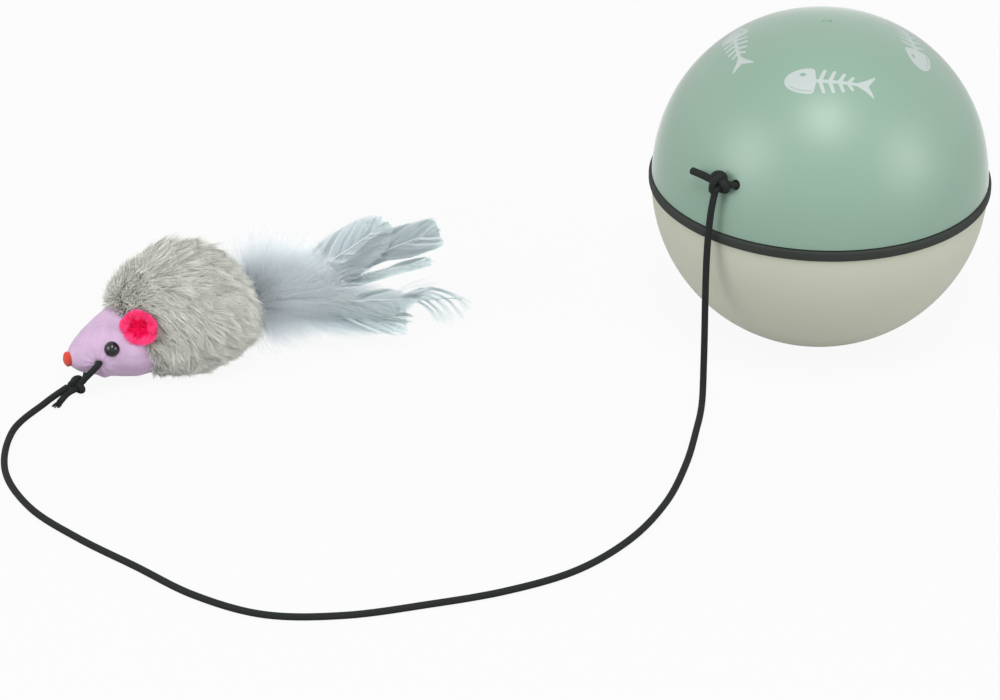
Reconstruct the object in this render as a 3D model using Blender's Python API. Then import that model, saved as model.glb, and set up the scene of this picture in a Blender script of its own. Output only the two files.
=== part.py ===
"""A self rolling cat ball with a plush mouse on an elastic cord.

The ball stands on the flat at its lower pole. The origin is the middle of that flat, +Z runs up
through both poles, and the mouse lies on the same floor on the -X side. Inside, a geared motor
and its battery hang beside a spindle that is keyed to the upper shell.
"""
import math

import bmesh
import bpy
from mathutils import Matrix, Vector

MM = 0.001

# Clearances and the overrun of a cut
SEAT_GAP = 0.25 * MM
RUN_FIT = 0.1 * MM
SLIDE_FIT = 0.3 * MM
OVERRUN = 1.0 * MM
EMBED = 0.6 * MM

# Shells and the rubber tyre in their seam
BALL_RADIUS = 40.0 * MM
SEAM_SPREAD = 1.2 * MM
REST_FLAT_RADIUS = 8.0 * MM
SHELL_WALL = 2.0 * MM
RIM_WALL = 2.8 * MM
RIM_DEPTH = 8.0 * MM
RIM_TAPER = 4.0 * MM
TYRE_HEIGHT = 2.4 * MM
TYRE_PROUD = 0.7 * MM
TYRE_EDGE = 0.35 * MM
SKIRT_WALL = 1.7 * MM
SKIRT_DROP = 7.0 * MM
POLE_MARK_RADIUS = 1.2 * MM
POLE_MARK_DEPTH = 0.25 * MM

# Bayonet between the shells
LUG_COUNT = 3
LUG_WIDTH = 5.0 * MM
LUG_HEIGHT = 1.4 * MM
LUG_REACH = 1.4 * MM
LUG_DROP = 4.3 * MM
LUG_FIRST_ANGLE = math.radians(20.0)
TWIST_ANGLE = math.radians(20.0)

# Spindle, keyed to the upper shell by its hexagon
SPINDLE_RADIUS = 1.5 * MM
HEX_ACROSS_CORNERS = 5.2 * MM
HEX_LENGTH = 5.6 * MM
SPINDLE_BOSS_WALL = 2.0 * MM
SPINDLE_BOSS_LENGTH = 8.0 * MM
SHELL_RIB_COUNT = 4
SHELL_RIB_THICKNESS = 1.2 * MM
SHELL_RIB_REACH = 7.0 * MM
CLIP_RADIUS = 3.0 * MM
CLIP_THICKNESS = 0.6 * MM

# Gear train, from the motor's pinion to the gear on the spindle
GEAR_MODULE = 0.6 * MM
GEAR_BACKLASH = 0.16 * MM
GEAR_PRESSURE_ANGLE = math.radians(20.0)
ADDENDUM_SHARE = 0.8
DEDENDUM_SHARE = 1.2
PINION_TEETH = 8
FIRST_WHEEL_TEETH = 26
FIRST_PINION_TEETH = 9
SECOND_WHEEL_TEETH = 23
SECOND_PINION_TEETH = 9
OUTPUT_TEETH = 22
GEAR_FACE = 2.5 * MM
GEAR_LEVEL_GAP = 0.6 * MM
GEAR_PIN_RADIUS = 0.75 * MM

# Frame of the drive unit, heights from the ball's centre
DECK_UNDERSIDE = 8.5 * MM
PLATE_THICKNESS = 2.0 * MM
DECK_RADIUS = 27.0 * MM
COVER_INSET = 0.5 * MM
COVER_THICKNESS = 1.8 * MM
FOOT_LIFT = 8.2 * MM
FOOT_RADIUS = 21.0 * MM
COLUMN_RADIUS = 2.0 * MM
COLUMN_PLACES = ((15.0 * MM, 9.0 * MM), (15.0 * MM, -11.0 * MM))
PLATE_SLOT_LENGTH = 9.0 * MM
PLATE_SLOT_WIDTH = 4.0 * MM

# Screws that hold the gear cover on its posts
POST_PLACES = ((17.5 * MM, 8.0 * MM), (-18.0 * MM, -8.0 * MM),
               (2.0 * MM, 19.0 * MM), (16.8 * MM, -17.3 * MM))
POST_RADIUS = 2.0 * MM
SCREW_RADIUS = 0.8 * MM
SCREW_LENGTH = 8.0 * MM
SCREW_HEAD_RADIUS = 1.8 * MM
SCREW_HEAD_HEIGHT = 1.2 * MM
SCREW_SLOT_WIDTH = 0.5 * MM
SCREW_SLOT_DEPTH = 0.5 * MM

# Bushes, and the pivot pin in the lower shell
BUSH_WALL = 1.2 * MM
BUSH_FLANGE = 1.0 * MM
BUSH_FLANGE_THICKNESS = 0.6 * MM
PIVOT_BOSS_WALL = 2.2 * MM
PIVOT_BOSS_HEIGHT = 8.3 * MM
PIVOT_BORE_DEPTH = 5.5 * MM
PIVOT_HOUSING_WALL = 2.8 * MM
PIVOT_HOUSING_DROP = 3.4 * MM
PIVOT_HEAD_RADIUS = 3.0 * MM
PIVOT_HEAD_THICKNESS = 0.8 * MM

# Motor
MOTOR_X = -6.0 * MM
MOTOR_Y = -13.5 * MM
MOTOR_RADIUS = 10.0 * MM
MOTOR_HALF_FLAT = 7.6 * MM
MOTOR_LENGTH = 25.0 * MM
MOTOR_NOSE_RADIUS = 3.1 * MM
MOTOR_NOSE_LENGTH = 1.5 * MM
MOTOR_CAP_LENGTH = 2.2 * MM
MOTOR_CAP_INSET = 1.2 * MM
MOTOR_TERMINAL_WIDTH = 2.0 * MM
MOTOR_TERMINAL_THICKNESS = 0.5 * MM
MOTOR_TERMINAL_DROP = 1.6 * MM
MOTOR_TERMINAL_SPREAD = 5.0 * MM
MOTOR_SHAFT_RADIUS = 1.0 * MM
MOTOR_SHAFT_HOLD = 5.0 * MM
SLEEVE_WALL = 1.4 * MM
SLEEVE_LENGTH = 17.0 * MM

# AA cell and the cradle that holds it
BATTERY_X = -13.2 * MM
BATTERY_Y = 7.9 * MM
BATTERY_RADIUS = 7.25 * MM
BATTERY_LENGTH = 50.5 * MM
BATTERY_NUB_RADIUS = 2.7 * MM
BATTERY_NUB_HEIGHT = 1.2 * MM
BATTERY_EDGE = 0.6 * MM
CRADLE_WALL = 1.3 * MM
CRADLE_MOUTH = 11.5 * MM
CRADLE_END_INSET = 1.4 * MM
CRADLE_WINDOW = 8.0 * MM
SPRING_LENGTH = 2.8 * MM
SPRING_WIRE_RADIUS = 0.3 * MM
SPRING_BASE_RADIUS = 4.6 * MM
SPRING_TIP_RADIUS = 2.2 * MM
SPRING_TURNS = 2.5
CONTACT_RADIUS = 5.0 * MM
CONTACT_THICKNESS = 0.4 * MM

# Slide switch under the foot plate
SWITCH_X = 9.5 * MM
SWITCH_Y = 2.0 * MM
SWITCH_LENGTH = 8.6 * MM
SWITCH_WIDTH = 4.4 * MM
SWITCH_HEIGHT = 3.4 * MM
SWITCH_TRAVEL = 2.0 * MM
KNOB_LENGTH = 2.0 * MM
KNOB_WIDTH = 1.8 * MM
KNOB_DROP = 2.6 * MM
KNOB_ROOT = 1.2 * MM
KNOB_FOOT_LENGTH = 3.2 * MM

# Cord, its anchor in the upper shell and its knots
CORD_RADIUS = 0.8 * MM
CORD_POINT_SPACING = 4.9 * MM
ANCHOR_LATITUDE = math.radians(18.9)
ANCHOR_AZIMUTH = math.radians(-40.5)
ANCHOR_HALF_SPAN = 3.0 * MM
ANCHOR_HOLE_RADIUS = 1.25 * MM
KNOT_HALF_WIDTH = 2.4 * MM
KNOT_HALF_HEIGHT = 2.3 * MM
KNOT_HALF_DEPTH = 1.8 * MM
LOOP_RISE = 1.0 * MM
LOOP_INSIDE = 1.3 * MM
TAIL_LENGTH = 6.0 * MM
TAIL_DROP = 0.9 * MM

# The cord's route from the knot on the ball to the knot at the mouse, in millimetres
CORD_ROUTE_MM = (
    (-26.85, -31.05, 51.87), (-27.7, -31.8, 46.82), (-28.2, -32.2, 40.2), (-28.4, -32.4, 33.45),
    (-28.4, -32.6, 24.5), (-28.3, -32.7, 14.3), (-28.3, -33.1, 6.65), (-28.4, -34.6, 2.2),
    (-28.7, -38.15, 0.85), (-29.3, -43.45, 0.8), (-30.4, -50.15, 0.8), (-33.7, -66.75, 0.8),
    (-39.0, -83.55, 0.8), (-47.5, -98.85, 0.8), (-59.6, -111.35, 0.8), (-74.8, -119.35, 0.8),
    (-91.8, -124.65, 0.8), (-109.3, -128.75, 0.8), (-126.3, -128.45, 0.8), (-141.7, -121.05, 0.8),
    (-155.4, -109.65, 0.8), (-169.1, -98.25, 0.8), (-181.0, -85.75, 0.8), (-188.4, -70.05, 0.8),
    (-188.7, -52.65, 0.8), (-182.6, -40.05, 0.9), (-177.9, -34.85, 2.1),
)
# The free end past the knot at the mouse, in millimetres
MOUSE_TAIL_ROUTE_MM = ((-175.8, -35.75, 1.5), (-177.2, -38.15, 0.9), (-179.9, -41.05, 0.8))

# Plush mouse: its nose stands over this place, and its back points along the yaw
MOUSE_X = -178.2 * MM
MOUSE_Y = -32.05 * MM
MOUSE_YAW = math.radians(27.0)
HEAD_LENGTH = 24.0 * MM
HEAD_RADIUS = 9.0 * MM
SNOUT_HEIGHT = 8.0 * MM
HEAD_START = 1.0 * MM
BODY_START = 15.3 * MM
BODY_LENGTH = 34.6 * MM
BODY_RADIUS = 15.4 * MM
BODY_REAR_HEIGHT = 10.5 * MM
FLOOR_CUT = 0.5 * MM
NOSE_RADIUS = 1.9 * MM
NOSE_LENGTH = 1.5 * MM
EYE_RADIUS = 1.9 * MM
EYE_SINK = 0.5 * MM
EYE_LIFT = math.radians(2.0)
EAR_LIFT = math.radians(13.0)
HEAD_ROLL = math.radians(20.0)
EAR_RADIUS = 4.3 * MM
EAR_THICKNESS = 1.6 * MM
EAR_DISH = 0.5 * MM
EAR_TUCK = 0.8 * MM
MOUSE_KNOT_RADIUS = 2.1 * MM
MOUSE_KNOT_BACK = 1.0 * MM
MOUSE_KNOT_SIDE = -1.8 * MM
FEATHER_THICKNESS = 0.5 * MM
FEATHER_STEP = 1.1 * MM
FEATHER_LENGTH = 46.0 * MM
FEATHER_HALF_WIDTH = 8.5 * MM
FEATHER_CAMBER = 2.0 * MM

# Head stations: share of the length, share of the radius
HEAD_SHARES = ((0.0, 0.20), (0.04, 0.35), (0.14, 0.53), (0.28, 0.73), (0.45, 0.90),
               (0.62, 1.0), (0.80, 0.98), (1.0, 0.90))
# Body stations: share of the length, share of the radius, rise of the middle and forward lean
# of the ring as shares of the radius
BODY_SHARES = ((0.0, 0.52, -0.24, 0.32), (0.05, 0.70, -0.20, 0.32), (0.16, 0.86, -0.11, 0.25),
               (0.36, 1.0, 0.0, 0.08), (0.56, 0.98, 0.0, 0.0), (0.75, 0.84, -0.08, 0.0),
               (0.89, 0.60, -0.18, 0.0), (0.97, 0.40, -0.27, 0.0), (1.0, 0.30, -0.32, 0.0))
# Each strand round the snout: share of the head's length, degrees below its middle
SNOUT_STRAND_WAYS = {"near": ((0.16, 30.0), (0.28, 0.0)),
                     "far": ((0.12, 62.0), (0.20, 30.0), (0.28, 0.0))}
EYE_SHARE = 0.35
EAR_SHARE = 0.50
# Feather outline: share of the length, share of the half width
FEATHER_SHARES = ((0.0, 0.30), (0.08, 0.60), (0.25, 0.90), (0.50, 1.0), (0.78, 0.90),
                  (0.94, 0.55), (1.0, 0.15))
# Each feather: share of the length, of the width, climb and swing of its tip in degrees
FEATHERS = (("feather_low", 0.775, 1.15, -8.6, -24.8), ("feather_side", 1.07, 0.85, -2.5, -21.0),
            ("feather_mid", 0.955, 0.90, 8.0, -7.5), ("feather_long", 1.01, 1.10, 13.3, -6.7),
            ("feather_top", 0.69, 1.35, 28.8, 4.6))

# Facets
SHELL_STEPS = 44
SHELL_ARC_STEPS = 9
BUSH_STEPS = 20
PIN_STEPS = 12
PLATE_STEPS = 40
CRADLE_STEPS = 32
SOFT_STEPS = 20

# What follows from the sizes above
DOME_RISE = SEAM_SPREAD / 2
CENTRE_HEIGHT = math.sqrt(BALL_RADIUS ** 2 - REST_FLAT_RADIUS ** 2) + DOME_RISE
INNER_RADIUS = BALL_RADIUS - SHELL_WALL
BORE_RADIUS = BALL_RADIUS - RIM_WALL
SKIRT_RADIUS = BORE_RADIUS - SLIDE_FIT
RIM_Z = TYRE_HEIGHT / 2 + SEAT_GAP
DECK_TOP = DECK_UNDERSIDE + PLATE_THICKNESS
GEAR_BASE = DECK_TOP + BUSH_FLANGE_THICKNESS + SEAT_GAP
GEAR_STEP = GEAR_FACE + GEAR_LEVEL_GAP
GEAR_TOP = GEAR_BASE + 2 * GEAR_STEP + GEAR_FACE
COVER_UNDERSIDE = GEAR_TOP + GEAR_LEVEL_GAP
COVER_TOP = COVER_UNDERSIDE + COVER_THICKNESS
COVER_RADIUS = DECK_RADIUS - COVER_INSET
BUSH_RADIUS = SPINDLE_RADIUS + RUN_FIT + BUSH_WALL
MOTOR_TOP = DECK_UNDERSIDE - SEAT_GAP
MOTOR_BOTTOM = MOTOR_TOP - MOTOR_LENGTH
HEX_RADIUS = HEX_ACROSS_CORNERS / 2
SPINDLE_BOSS_RADIUS = HEX_RADIUS + SEAT_GAP + SPINDLE_BOSS_WALL
SPINDLE_BOSS_END = DOME_RISE + INNER_RADIUS - SPINDLE_BOSS_LENGTH
PIVOT_BOSS_RADIUS = BUSH_RADIUS + SEAT_GAP + PIVOT_BOSS_WALL
PIVOT_BOSS_TOP = -DOME_RISE - INNER_RADIUS + PIVOT_BOSS_HEIGHT
FOOT_TOP = PIVOT_BOSS_TOP + FOOT_LIFT
FOOT_UNDERSIDE = FOOT_TOP - PLATE_THICKNESS
CRADLE_BORE = BATTERY_RADIUS + SLIDE_FIT
CRADLE_RADIUS = CRADLE_BORE + CRADLE_WALL
CRADLE_HALF = BATTERY_LENGTH / 2 + (SPRING_LENGTH + 2 * CONTACT_THICKNESS + 2 * SEAT_GAP) / 2
BATTERY_BOTTOM = -CRADLE_HALF + CONTACT_THICKNESS + SEAT_GAP + SPRING_LENGTH


def material(name, colour, roughness, metallic=0.0):
    """A Principled material of one plain colour."""
    made = bpy.data.materials.new(name)
    made.use_nodes = True
    shader = made.node_tree.nodes["Principled BSDF"]
    shader.inputs["Base Color"].default_value = (*colour, 1.0)
    shader.inputs["Roughness"].default_value = roughness
    shader.inputs["Metallic"].default_value = metallic
    made.diffuse_color = (*colour, 1.0)
    return made


def empty(name, location, parent=None):
    """An axis or a carrier that pieces are placed from."""
    made = bpy.data.objects.new(name, None)
    bpy.context.scene.collection.objects.link(made)
    made.parent = parent
    made.location = location
    return made


def place(name, mesh, look, parent, location=(0, 0, 0), smooth=30.0):
    """Put a mesh in the scene as a named piece."""
    made = bpy.data.objects.new(name, mesh)
    bpy.context.scene.collection.objects.link(made)
    made.parent = parent
    made.location = location
    if look:
        mesh.materials.append(look)
    mesh.shade_smooth()
    mesh.set_sharp_from_angle(angle=math.radians(smooth))
    return made


def mesh_from(bm, name):
    """Close a bmesh into a mesh whose faces point out."""
    bmesh.ops.recalc_face_normals(bm, faces=bm.faces)
    mesh = bpy.data.meshes.new(name)
    bm.to_mesh(mesh)
    bm.free()
    return mesh


def turned(name, outline, steps):
    """Spin an outline of (radius, height) points about Z; one off the axis is a closed loop."""
    bm = bmesh.new()
    verts = [bm.verts.new((radius, 0, height)) for radius, height in outline]
    on_axis = outline[0][0] == 0 and outline[-1][0] == 0
    pairs = list(zip(verts, verts[1:]))
    if not on_axis:
        pairs.append((verts[-1], verts[0]))
    edges = [bm.edges.new(pair) for pair in pairs]
    bmesh.ops.spin(bm, geom=verts + edges, cent=(0, 0, 0), axis=(0, 0, 1), angle=math.tau,
                   steps=steps, use_merge=True)
    bmesh.ops.remove_doubles(bm, verts=bm.verts, dist=SEAT_GAP / 1000)
    return mesh_from(bm, name)


def extruded(name, outline, low, high):
    """Extrude a flat outline of (x, y) points from one height to another."""
    bm = bmesh.new()
    face = bm.faces.new([bm.verts.new((x, y, low)) for x, y in outline])
    grown = bmesh.ops.extrude_face_region(bm, geom=[face])
    lifted = [item for item in grown["geom"] if isinstance(item, bmesh.types.BMVert)]
    bmesh.ops.translate(bm, verts=lifted, vec=(0, 0, high - low))
    return mesh_from(bm, name)


def lofted(name, rings):
    """Skin a row of rings of points, and close both ends."""
    bm = bmesh.new()
    rows = [[bm.verts.new(point) for point in ring] for ring in rings]
    for row, following in zip(rows, rows[1:]):
        for index in range(len(row)):
            after = (index + 1) % len(row)
            bm.faces.new((row[index], row[after], following[after], following[index]))
    bm.faces.new(rows[0])
    bm.faces.new(rows[-1])
    return mesh_from(bm, name)


def circle(radius, steps, centre=(0, 0), phase=0.0):
    """Points round a circle."""
    return [(centre[0] + radius * math.cos(phase + math.tau * index / steps),
             centre[1] + radius * math.sin(phase + math.tau * index / steps))
            for index in range(steps)]


def arc(radius, start, end, steps, rise=0.0):
    """Points (radius, height) along a circle, by latitude, its centre raised along Z."""
    angles = [start + (end - start) * index / steps for index in range(steps + 1)]
    return [(radius * math.cos(angle) if abs(angle) < math.pi / 2 else 0,
             rise + radius * math.sin(angle)) for angle in angles]


def rod(radius, low, high):
    """The outline of a plain rod about Z."""
    return [(0, low), (radius, low), (radius, high), (0, high)]


def tool(name, mesh, parent, location=(0, 0, 0)):
    """A hidden solid that another piece is cut by or joined with."""
    made = place(name, mesh, None, parent, location)
    made.hide_render = True
    made.display_type = "WIRE"
    return made


def boolean(piece, other, operation):
    """Cut a piece by another, or join it with one."""
    step = piece.modifiers.new(other.name, "BOOLEAN")
    step.operation = operation
    step.solver = "EXACT"
    step.object = other


def cut(piece, name, mesh, location=(0, 0, 0)):
    """Cut a piece by a hidden solid placed from the same parent."""
    boolean(piece, tool(name, mesh, piece.parent, location), "DIFFERENCE")


def join(piece, name, mesh, location=(0, 0, 0)):
    """Join a hidden solid to a piece."""
    boolean(piece, tool(name, mesh, piece.parent, location), "UNION")


def block(name, size, centre):
    """A box of a size (x, y, z) about a centre."""
    bm = bmesh.new()
    bmesh.ops.create_cube(bm, size=1.0)
    bmesh.ops.scale(bm, vec=size, verts=bm.verts)
    bmesh.ops.translate(bm, vec=centre, verts=bm.verts)
    return mesh_from(bm, name)


def sector(name, inner, outer, low, high, start, end, steps=4):
    """A piece of a ring between two angles."""
    angles = [start + (end - start) * index / steps for index in range(steps + 1)]
    outline = [(outer * math.cos(angle), outer * math.sin(angle)) for angle in angles]
    outline += [(inner * math.cos(angle), inner * math.sin(angle)) for angle in reversed(angles)]
    return extruded(name, outline, low, high)


def direction(azimuth, latitude):
    """Unit vector from the ball's centre; azimuth 0 looks at the viewer on the -Y side."""
    return Vector((math.sin(azimuth) * math.cos(latitude), -math.cos(azimuth) * math.cos(latitude),
                   math.sin(latitude)))


def pointing(mesh, way, centre=(0, 0, 0)):
    """Turn a mesh so that its +Z points one way, and move it to a centre."""
    turn = Vector((0, 0, 1)).rotation_difference(Vector(way)).to_matrix().to_4x4()
    mesh.transform(Matrix.Translation(centre) @ turn)
    return mesh


def smooth_points(route, spacing):
    """Points at an even spacing along a smooth curve through the route."""
    ends = [route[0] * 2 - route[1]] + list(route) + [route[-1] * 2 - route[-2]]
    fine = []
    for index in range(1, len(ends) - 2):
        a, b, c, d = ends[index - 1:index + 3]
        for step in range(24):
            t = step / 24
            fine.append(((b * 2) + (c - a) * t + (a * 2 - b * 5 + c * 4 - d) * t ** 2
                         + (b * 3 - a - c * 3 + d) * t ** 3) / 2)
    fine.append(route[-1].copy())
    lengths = [0.0]
    for before, after in zip(fine, fine[1:]):
        lengths.append(lengths[-1] + (after - before).length)
    count = max(3, round(lengths[-1] / spacing))
    points = []
    index = 0
    for number in range(count + 1):
        wanted = lengths[-1] * number / count
        while index < len(fine) - 2 and lengths[index + 1] < wanted:
            index += 1
        span = lengths[index + 1] - lengths[index]
        points.append(fine[index].lerp(fine[index + 1], (wanted - lengths[index]) / span))
    return points, lengths[-1]


def tube(name, points, radius, look, parent=None, resolution=2):
    """A round cord or wire along points."""
    curve = bpy.data.curves.new(name, "CURVE")
    curve.dimensions = "3D"
    curve.bevel_depth = radius
    curve.bevel_resolution = resolution
    curve.use_fill_caps = True
    curve.render_resolution_u = 0
    spline = curve.splines.new("POLY")
    spline.points.add(len(points) - 1)
    for spot, point in zip(spline.points, points):
        spot.co = (*point, 1.0)
    curve.materials.append(look)
    made = bpy.data.objects.new(name, curve)
    bpy.context.scene.collection.objects.link(made)
    made.parent = parent
    return made


def shell_outer(start, end, rise):
    """A dome's outer face between two latitudes."""
    return arc(BALL_RADIUS, start, end, SHELL_ARC_STEPS, rise)


def make_upper_shell(parent, look):
    """The upper half: dome, seam rim, bayonet skirt, and the boss that keys the spindle."""
    rim_latitude = math.asin((RIM_Z - DOME_RISE) / BALL_RADIUS)
    mark_latitude = math.acos(POLE_MARK_RADIUS / BALL_RADIUS)
    skirt_inner = SKIRT_RADIUS - SKIRT_WALL
    taper_latitude = math.asin((RIM_DEPTH + RIM_TAPER - DOME_RISE) / INNER_RADIUS)
    boss_latitude = math.acos(SPINDLE_BOSS_RADIUS / INNER_RADIUS)
    mark_floor = DOME_RISE + BALL_RADIUS * math.sin(mark_latitude) - POLE_MARK_DEPTH
    outline = [(0, mark_floor), (POLE_MARK_RADIUS, mark_floor)]
    outline += shell_outer(mark_latitude, rim_latitude, DOME_RISE)
    outline += [(SKIRT_RADIUS, RIM_Z), (SKIRT_RADIUS, -SKIRT_DROP), (skirt_inner, -SKIRT_DROP),
                (skirt_inner, RIM_DEPTH)]
    outline += arc(INNER_RADIUS, taper_latitude, boss_latitude, SHELL_ARC_STEPS - 2, DOME_RISE)
    outline += [(SPINDLE_BOSS_RADIUS, SPINDLE_BOSS_END), (0, SPINDLE_BOSS_END)]
    shell = place("upper_shell", turned("upper_shell", outline, SHELL_STEPS), look, parent)
    for number in range(SHELL_RIB_COUNT):
        angle = math.tau * (number + 0.5) / SHELL_RIB_COUNT
        low = SPINDLE_BOSS_END + OVERRUN
        reach = SPINDLE_BOSS_RADIUS + SHELL_RIB_REACH
        top = DOME_RISE + math.sqrt(INNER_RADIUS ** 2 - reach ** 2) + EMBED
        half = SHELL_RIB_THICKNESS / 2
        rib = rib_mesh("rib", SPINDLE_BOSS_RADIUS - EMBED, reach, low, top, half)
        rib.transform(Matrix.Rotation(angle, 4, "Z"))
        join(shell, f"upper_rib_{number}", rib)
    hexagon = circle(HEX_RADIUS + SEAT_GAP, 6)
    cut(shell, "hexagon_socket",
        extruded("hexagon_socket", hexagon, SPINDLE_BOSS_END - OVERRUN,
                 SPINDLE_BOSS_END + HEX_LENGTH + SEAT_GAP))
    half_lug = (LUG_WIDTH / 2 + SLIDE_FIT) / SKIRT_RADIUS
    low = -LUG_DROP - LUG_HEIGHT / 2 - SLIDE_FIT
    high = -LUG_DROP + LUG_HEIGHT / 2 + SLIDE_FIT
    for number in range(LUG_COUNT):
        locked = LUG_FIRST_ANGLE + math.tau * number / LUG_COUNT
        entry = locked + TWIST_ANGLE
        inner = skirt_inner - OVERRUN
        outer = SKIRT_RADIUS + OVERRUN
        cut(shell, f"bayonet_run_{number}",
            sector("run", inner, outer, low, high, locked - half_lug, entry + half_lug, 6))
        cut(shell, f"bayonet_entry_{number}",
            sector("entry", inner, outer, -SKIRT_DROP - OVERRUN, high - SEAT_GAP,
                   entry - half_lug, entry + half_lug - SEAT_GAP / SKIRT_RADIUS, 2))
    for side in (-1, 1):
        way = anchor_direction(side * ANCHOR_HALF_SPAN)
        drill = turned("cord_hole", rod(ANCHOR_HOLE_RADIUS, INNER_RADIUS - OVERRUN,
                                        BALL_RADIUS + OVERRUN), PIN_STEPS)
        cut(shell, f"cord_hole_{side + 1}", pointing(drill, way, (0, 0, DOME_RISE)))
    return shell


def rib_mesh(name, inner, outer, low, high, half):
    """A web in the X-Z plane whose lower edge slopes up away from the axis."""
    rings = []
    for y in (-half, half):
        rings.append([(inner, y, low), (outer, y, high - EMBED), (outer, y, high),
                      (inner, y, high + EMBED)])
    return lofted(name, rings)


def anchor_direction(shift, climb=0.0):
    """Direction to a point beside the cord's anchor, by its distance along the upper dome."""
    latitude = ANCHOR_LATITUDE + climb / BALL_RADIUS
    return direction(ANCHOR_AZIMUTH + shift / (BALL_RADIUS * math.cos(latitude)), latitude)


def anchor_point(shift, radius, climb=0.0):
    """A point beside the anchor, at a distance from the upper dome's centre."""
    return Vector((0, 0, DOME_RISE)) + anchor_direction(shift, climb) * radius


def make_lower_shell(parent, look):
    """The lower half: bowl with a resting flat, bored rim, lugs and the pivot's boss."""
    rim_latitude = math.asin((RIM_Z - DOME_RISE) / BALL_RADIUS)
    flat_latitude = math.acos(REST_FLAT_RADIUS / BALL_RADIUS)
    bore_floor = SKIRT_DROP + 2 * SLIDE_FIT
    bore_latitude = math.asin((bore_floor - DOME_RISE) / INNER_RADIUS)
    boss_latitude = math.acos(PIVOT_BOSS_RADIUS / INNER_RADIUS)
    seat = BUSH_RADIUS + SEAT_GAP
    outline = [(0, -CENTRE_HEIGHT)] + shell_outer(-flat_latitude, -rim_latitude, -DOME_RISE)
    outline += [(BORE_RADIUS, -RIM_Z), (BORE_RADIUS, -bore_floor)]
    outline += arc(INNER_RADIUS, -bore_latitude, -boss_latitude, SHELL_ARC_STEPS - 1, -DOME_RISE)
    outline += [(PIVOT_BOSS_RADIUS, PIVOT_BOSS_TOP), (seat, PIVOT_BOSS_TOP),
                (seat, PIVOT_BOSS_TOP - PIVOT_BORE_DEPTH), (0, PIVOT_BOSS_TOP - PIVOT_BORE_DEPTH)]
    shell = place("lower_shell", turned("lower_shell", outline, SHELL_STEPS), look, parent)
    half_lug = LUG_WIDTH / 2 / BORE_RADIUS
    for number in range(LUG_COUNT):
        angle = LUG_FIRST_ANGLE + math.tau * number / LUG_COUNT
        lug = sector("lug", BORE_RADIUS - LUG_REACH, BORE_RADIUS + EMBED,
                     -LUG_DROP - LUG_HEIGHT / 2, -LUG_DROP + LUG_HEIGHT / 2,
                     angle - half_lug, angle + half_lug)
        join(shell, f"lug_{number}", lug)
    for number in range(SHELL_RIB_COUNT):
        angle = math.tau * number / SHELL_RIB_COUNT
        reach = PIVOT_BOSS_RADIUS + SHELL_RIB_REACH
        top = DOME_RISE + math.sqrt(INNER_RADIUS ** 2 - reach ** 2) + EMBED
        rib = rib_mesh("rib", PIVOT_BOSS_RADIUS - EMBED, reach, -PIVOT_BOSS_TOP + OVERRUN, top,
                       SHELL_RIB_THICKNESS / 2)
        rib.transform(Matrix.Rotation(angle, 4, "Z") @ Matrix.Rotation(math.pi, 4, "X"))
        join(shell, f"lower_rib_{number}", rib)
    return shell


def make_tyre(parent, look):
    """The rubber ring that sits round the skirt between both rims."""
    inner = SKIRT_RADIUS + SEAT_GAP
    half = TYRE_HEIGHT / 2
    crown = BALL_RADIUS + TYRE_PROUD
    edge = BALL_RADIUS - TYRE_EDGE
    outline = [(inner, -half), (edge, -half)]
    for share in (-0.7, 0.0, 0.7):
        outline.append((edge + (crown - edge) * math.sqrt(1 - share ** 2), half * share))
    outline += [(edge, half), (inner, half)]
    return place("tyre_ring", turned("tyre_ring", outline, SHELL_STEPS), look, parent)


def involute(angle):
    """How far an involute has turned at a pressure angle."""
    return math.tan(angle) - angle


def gear_outline(teeth, phase):
    """Outline of a gear, four points a tooth, with a tooth centred on the phase angle."""
    pitch = GEAR_MODULE * teeth / 2
    tip = pitch + GEAR_MODULE * ADDENDUM_SHARE
    root = pitch - GEAR_MODULE * DEDENDUM_SHARE
    base = pitch * math.cos(GEAR_PRESSURE_ANGLE)
    half_pitch = (math.pi * GEAR_MODULE - GEAR_BACKLASH * 2) / 4 / pitch
    whole = half_pitch + involute(GEAR_PRESSURE_ANGLE)
    half_tip = whole - involute(math.acos(base / tip))
    half_root = whole - involute(math.acos(min(1.0, base / max(root, base))))
    outline = []
    for number in range(teeth):
        centre = phase + math.tau * number / teeth
        for radius, turn in ((root, -half_root), (tip, -half_tip), (tip, half_tip),
                             (root, half_root)):
            outline.append((radius * math.cos(centre + turn), radius * math.sin(centre + turn)))
    return outline


def meshed_phase(way, teeth, phase, other_teeth):
    """Phase of a gear whose gap takes the tooth of the gear before it, at a bearing from it."""
    along = (way - phase) * teeth / math.tau
    return way + math.pi - (0.5 - along) * math.tau / other_teeth


def centre_distance(teeth, other_teeth):
    """Distance between two meshed gears."""
    return GEAR_MODULE * (teeth + other_teeth) / 2


def third_corner(first, second, from_first, from_second):
    """The point at a distance from each of two others, on the right of the way between."""
    along = second - first
    share = (from_first ** 2 - from_second ** 2 + along.length ** 2) / (2 * along.length)
    height = math.sqrt(from_first ** 2 - share ** 2)
    unit = along.normalized()
    return first + unit * share + Vector((unit.y, -unit.x)) * height


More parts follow.
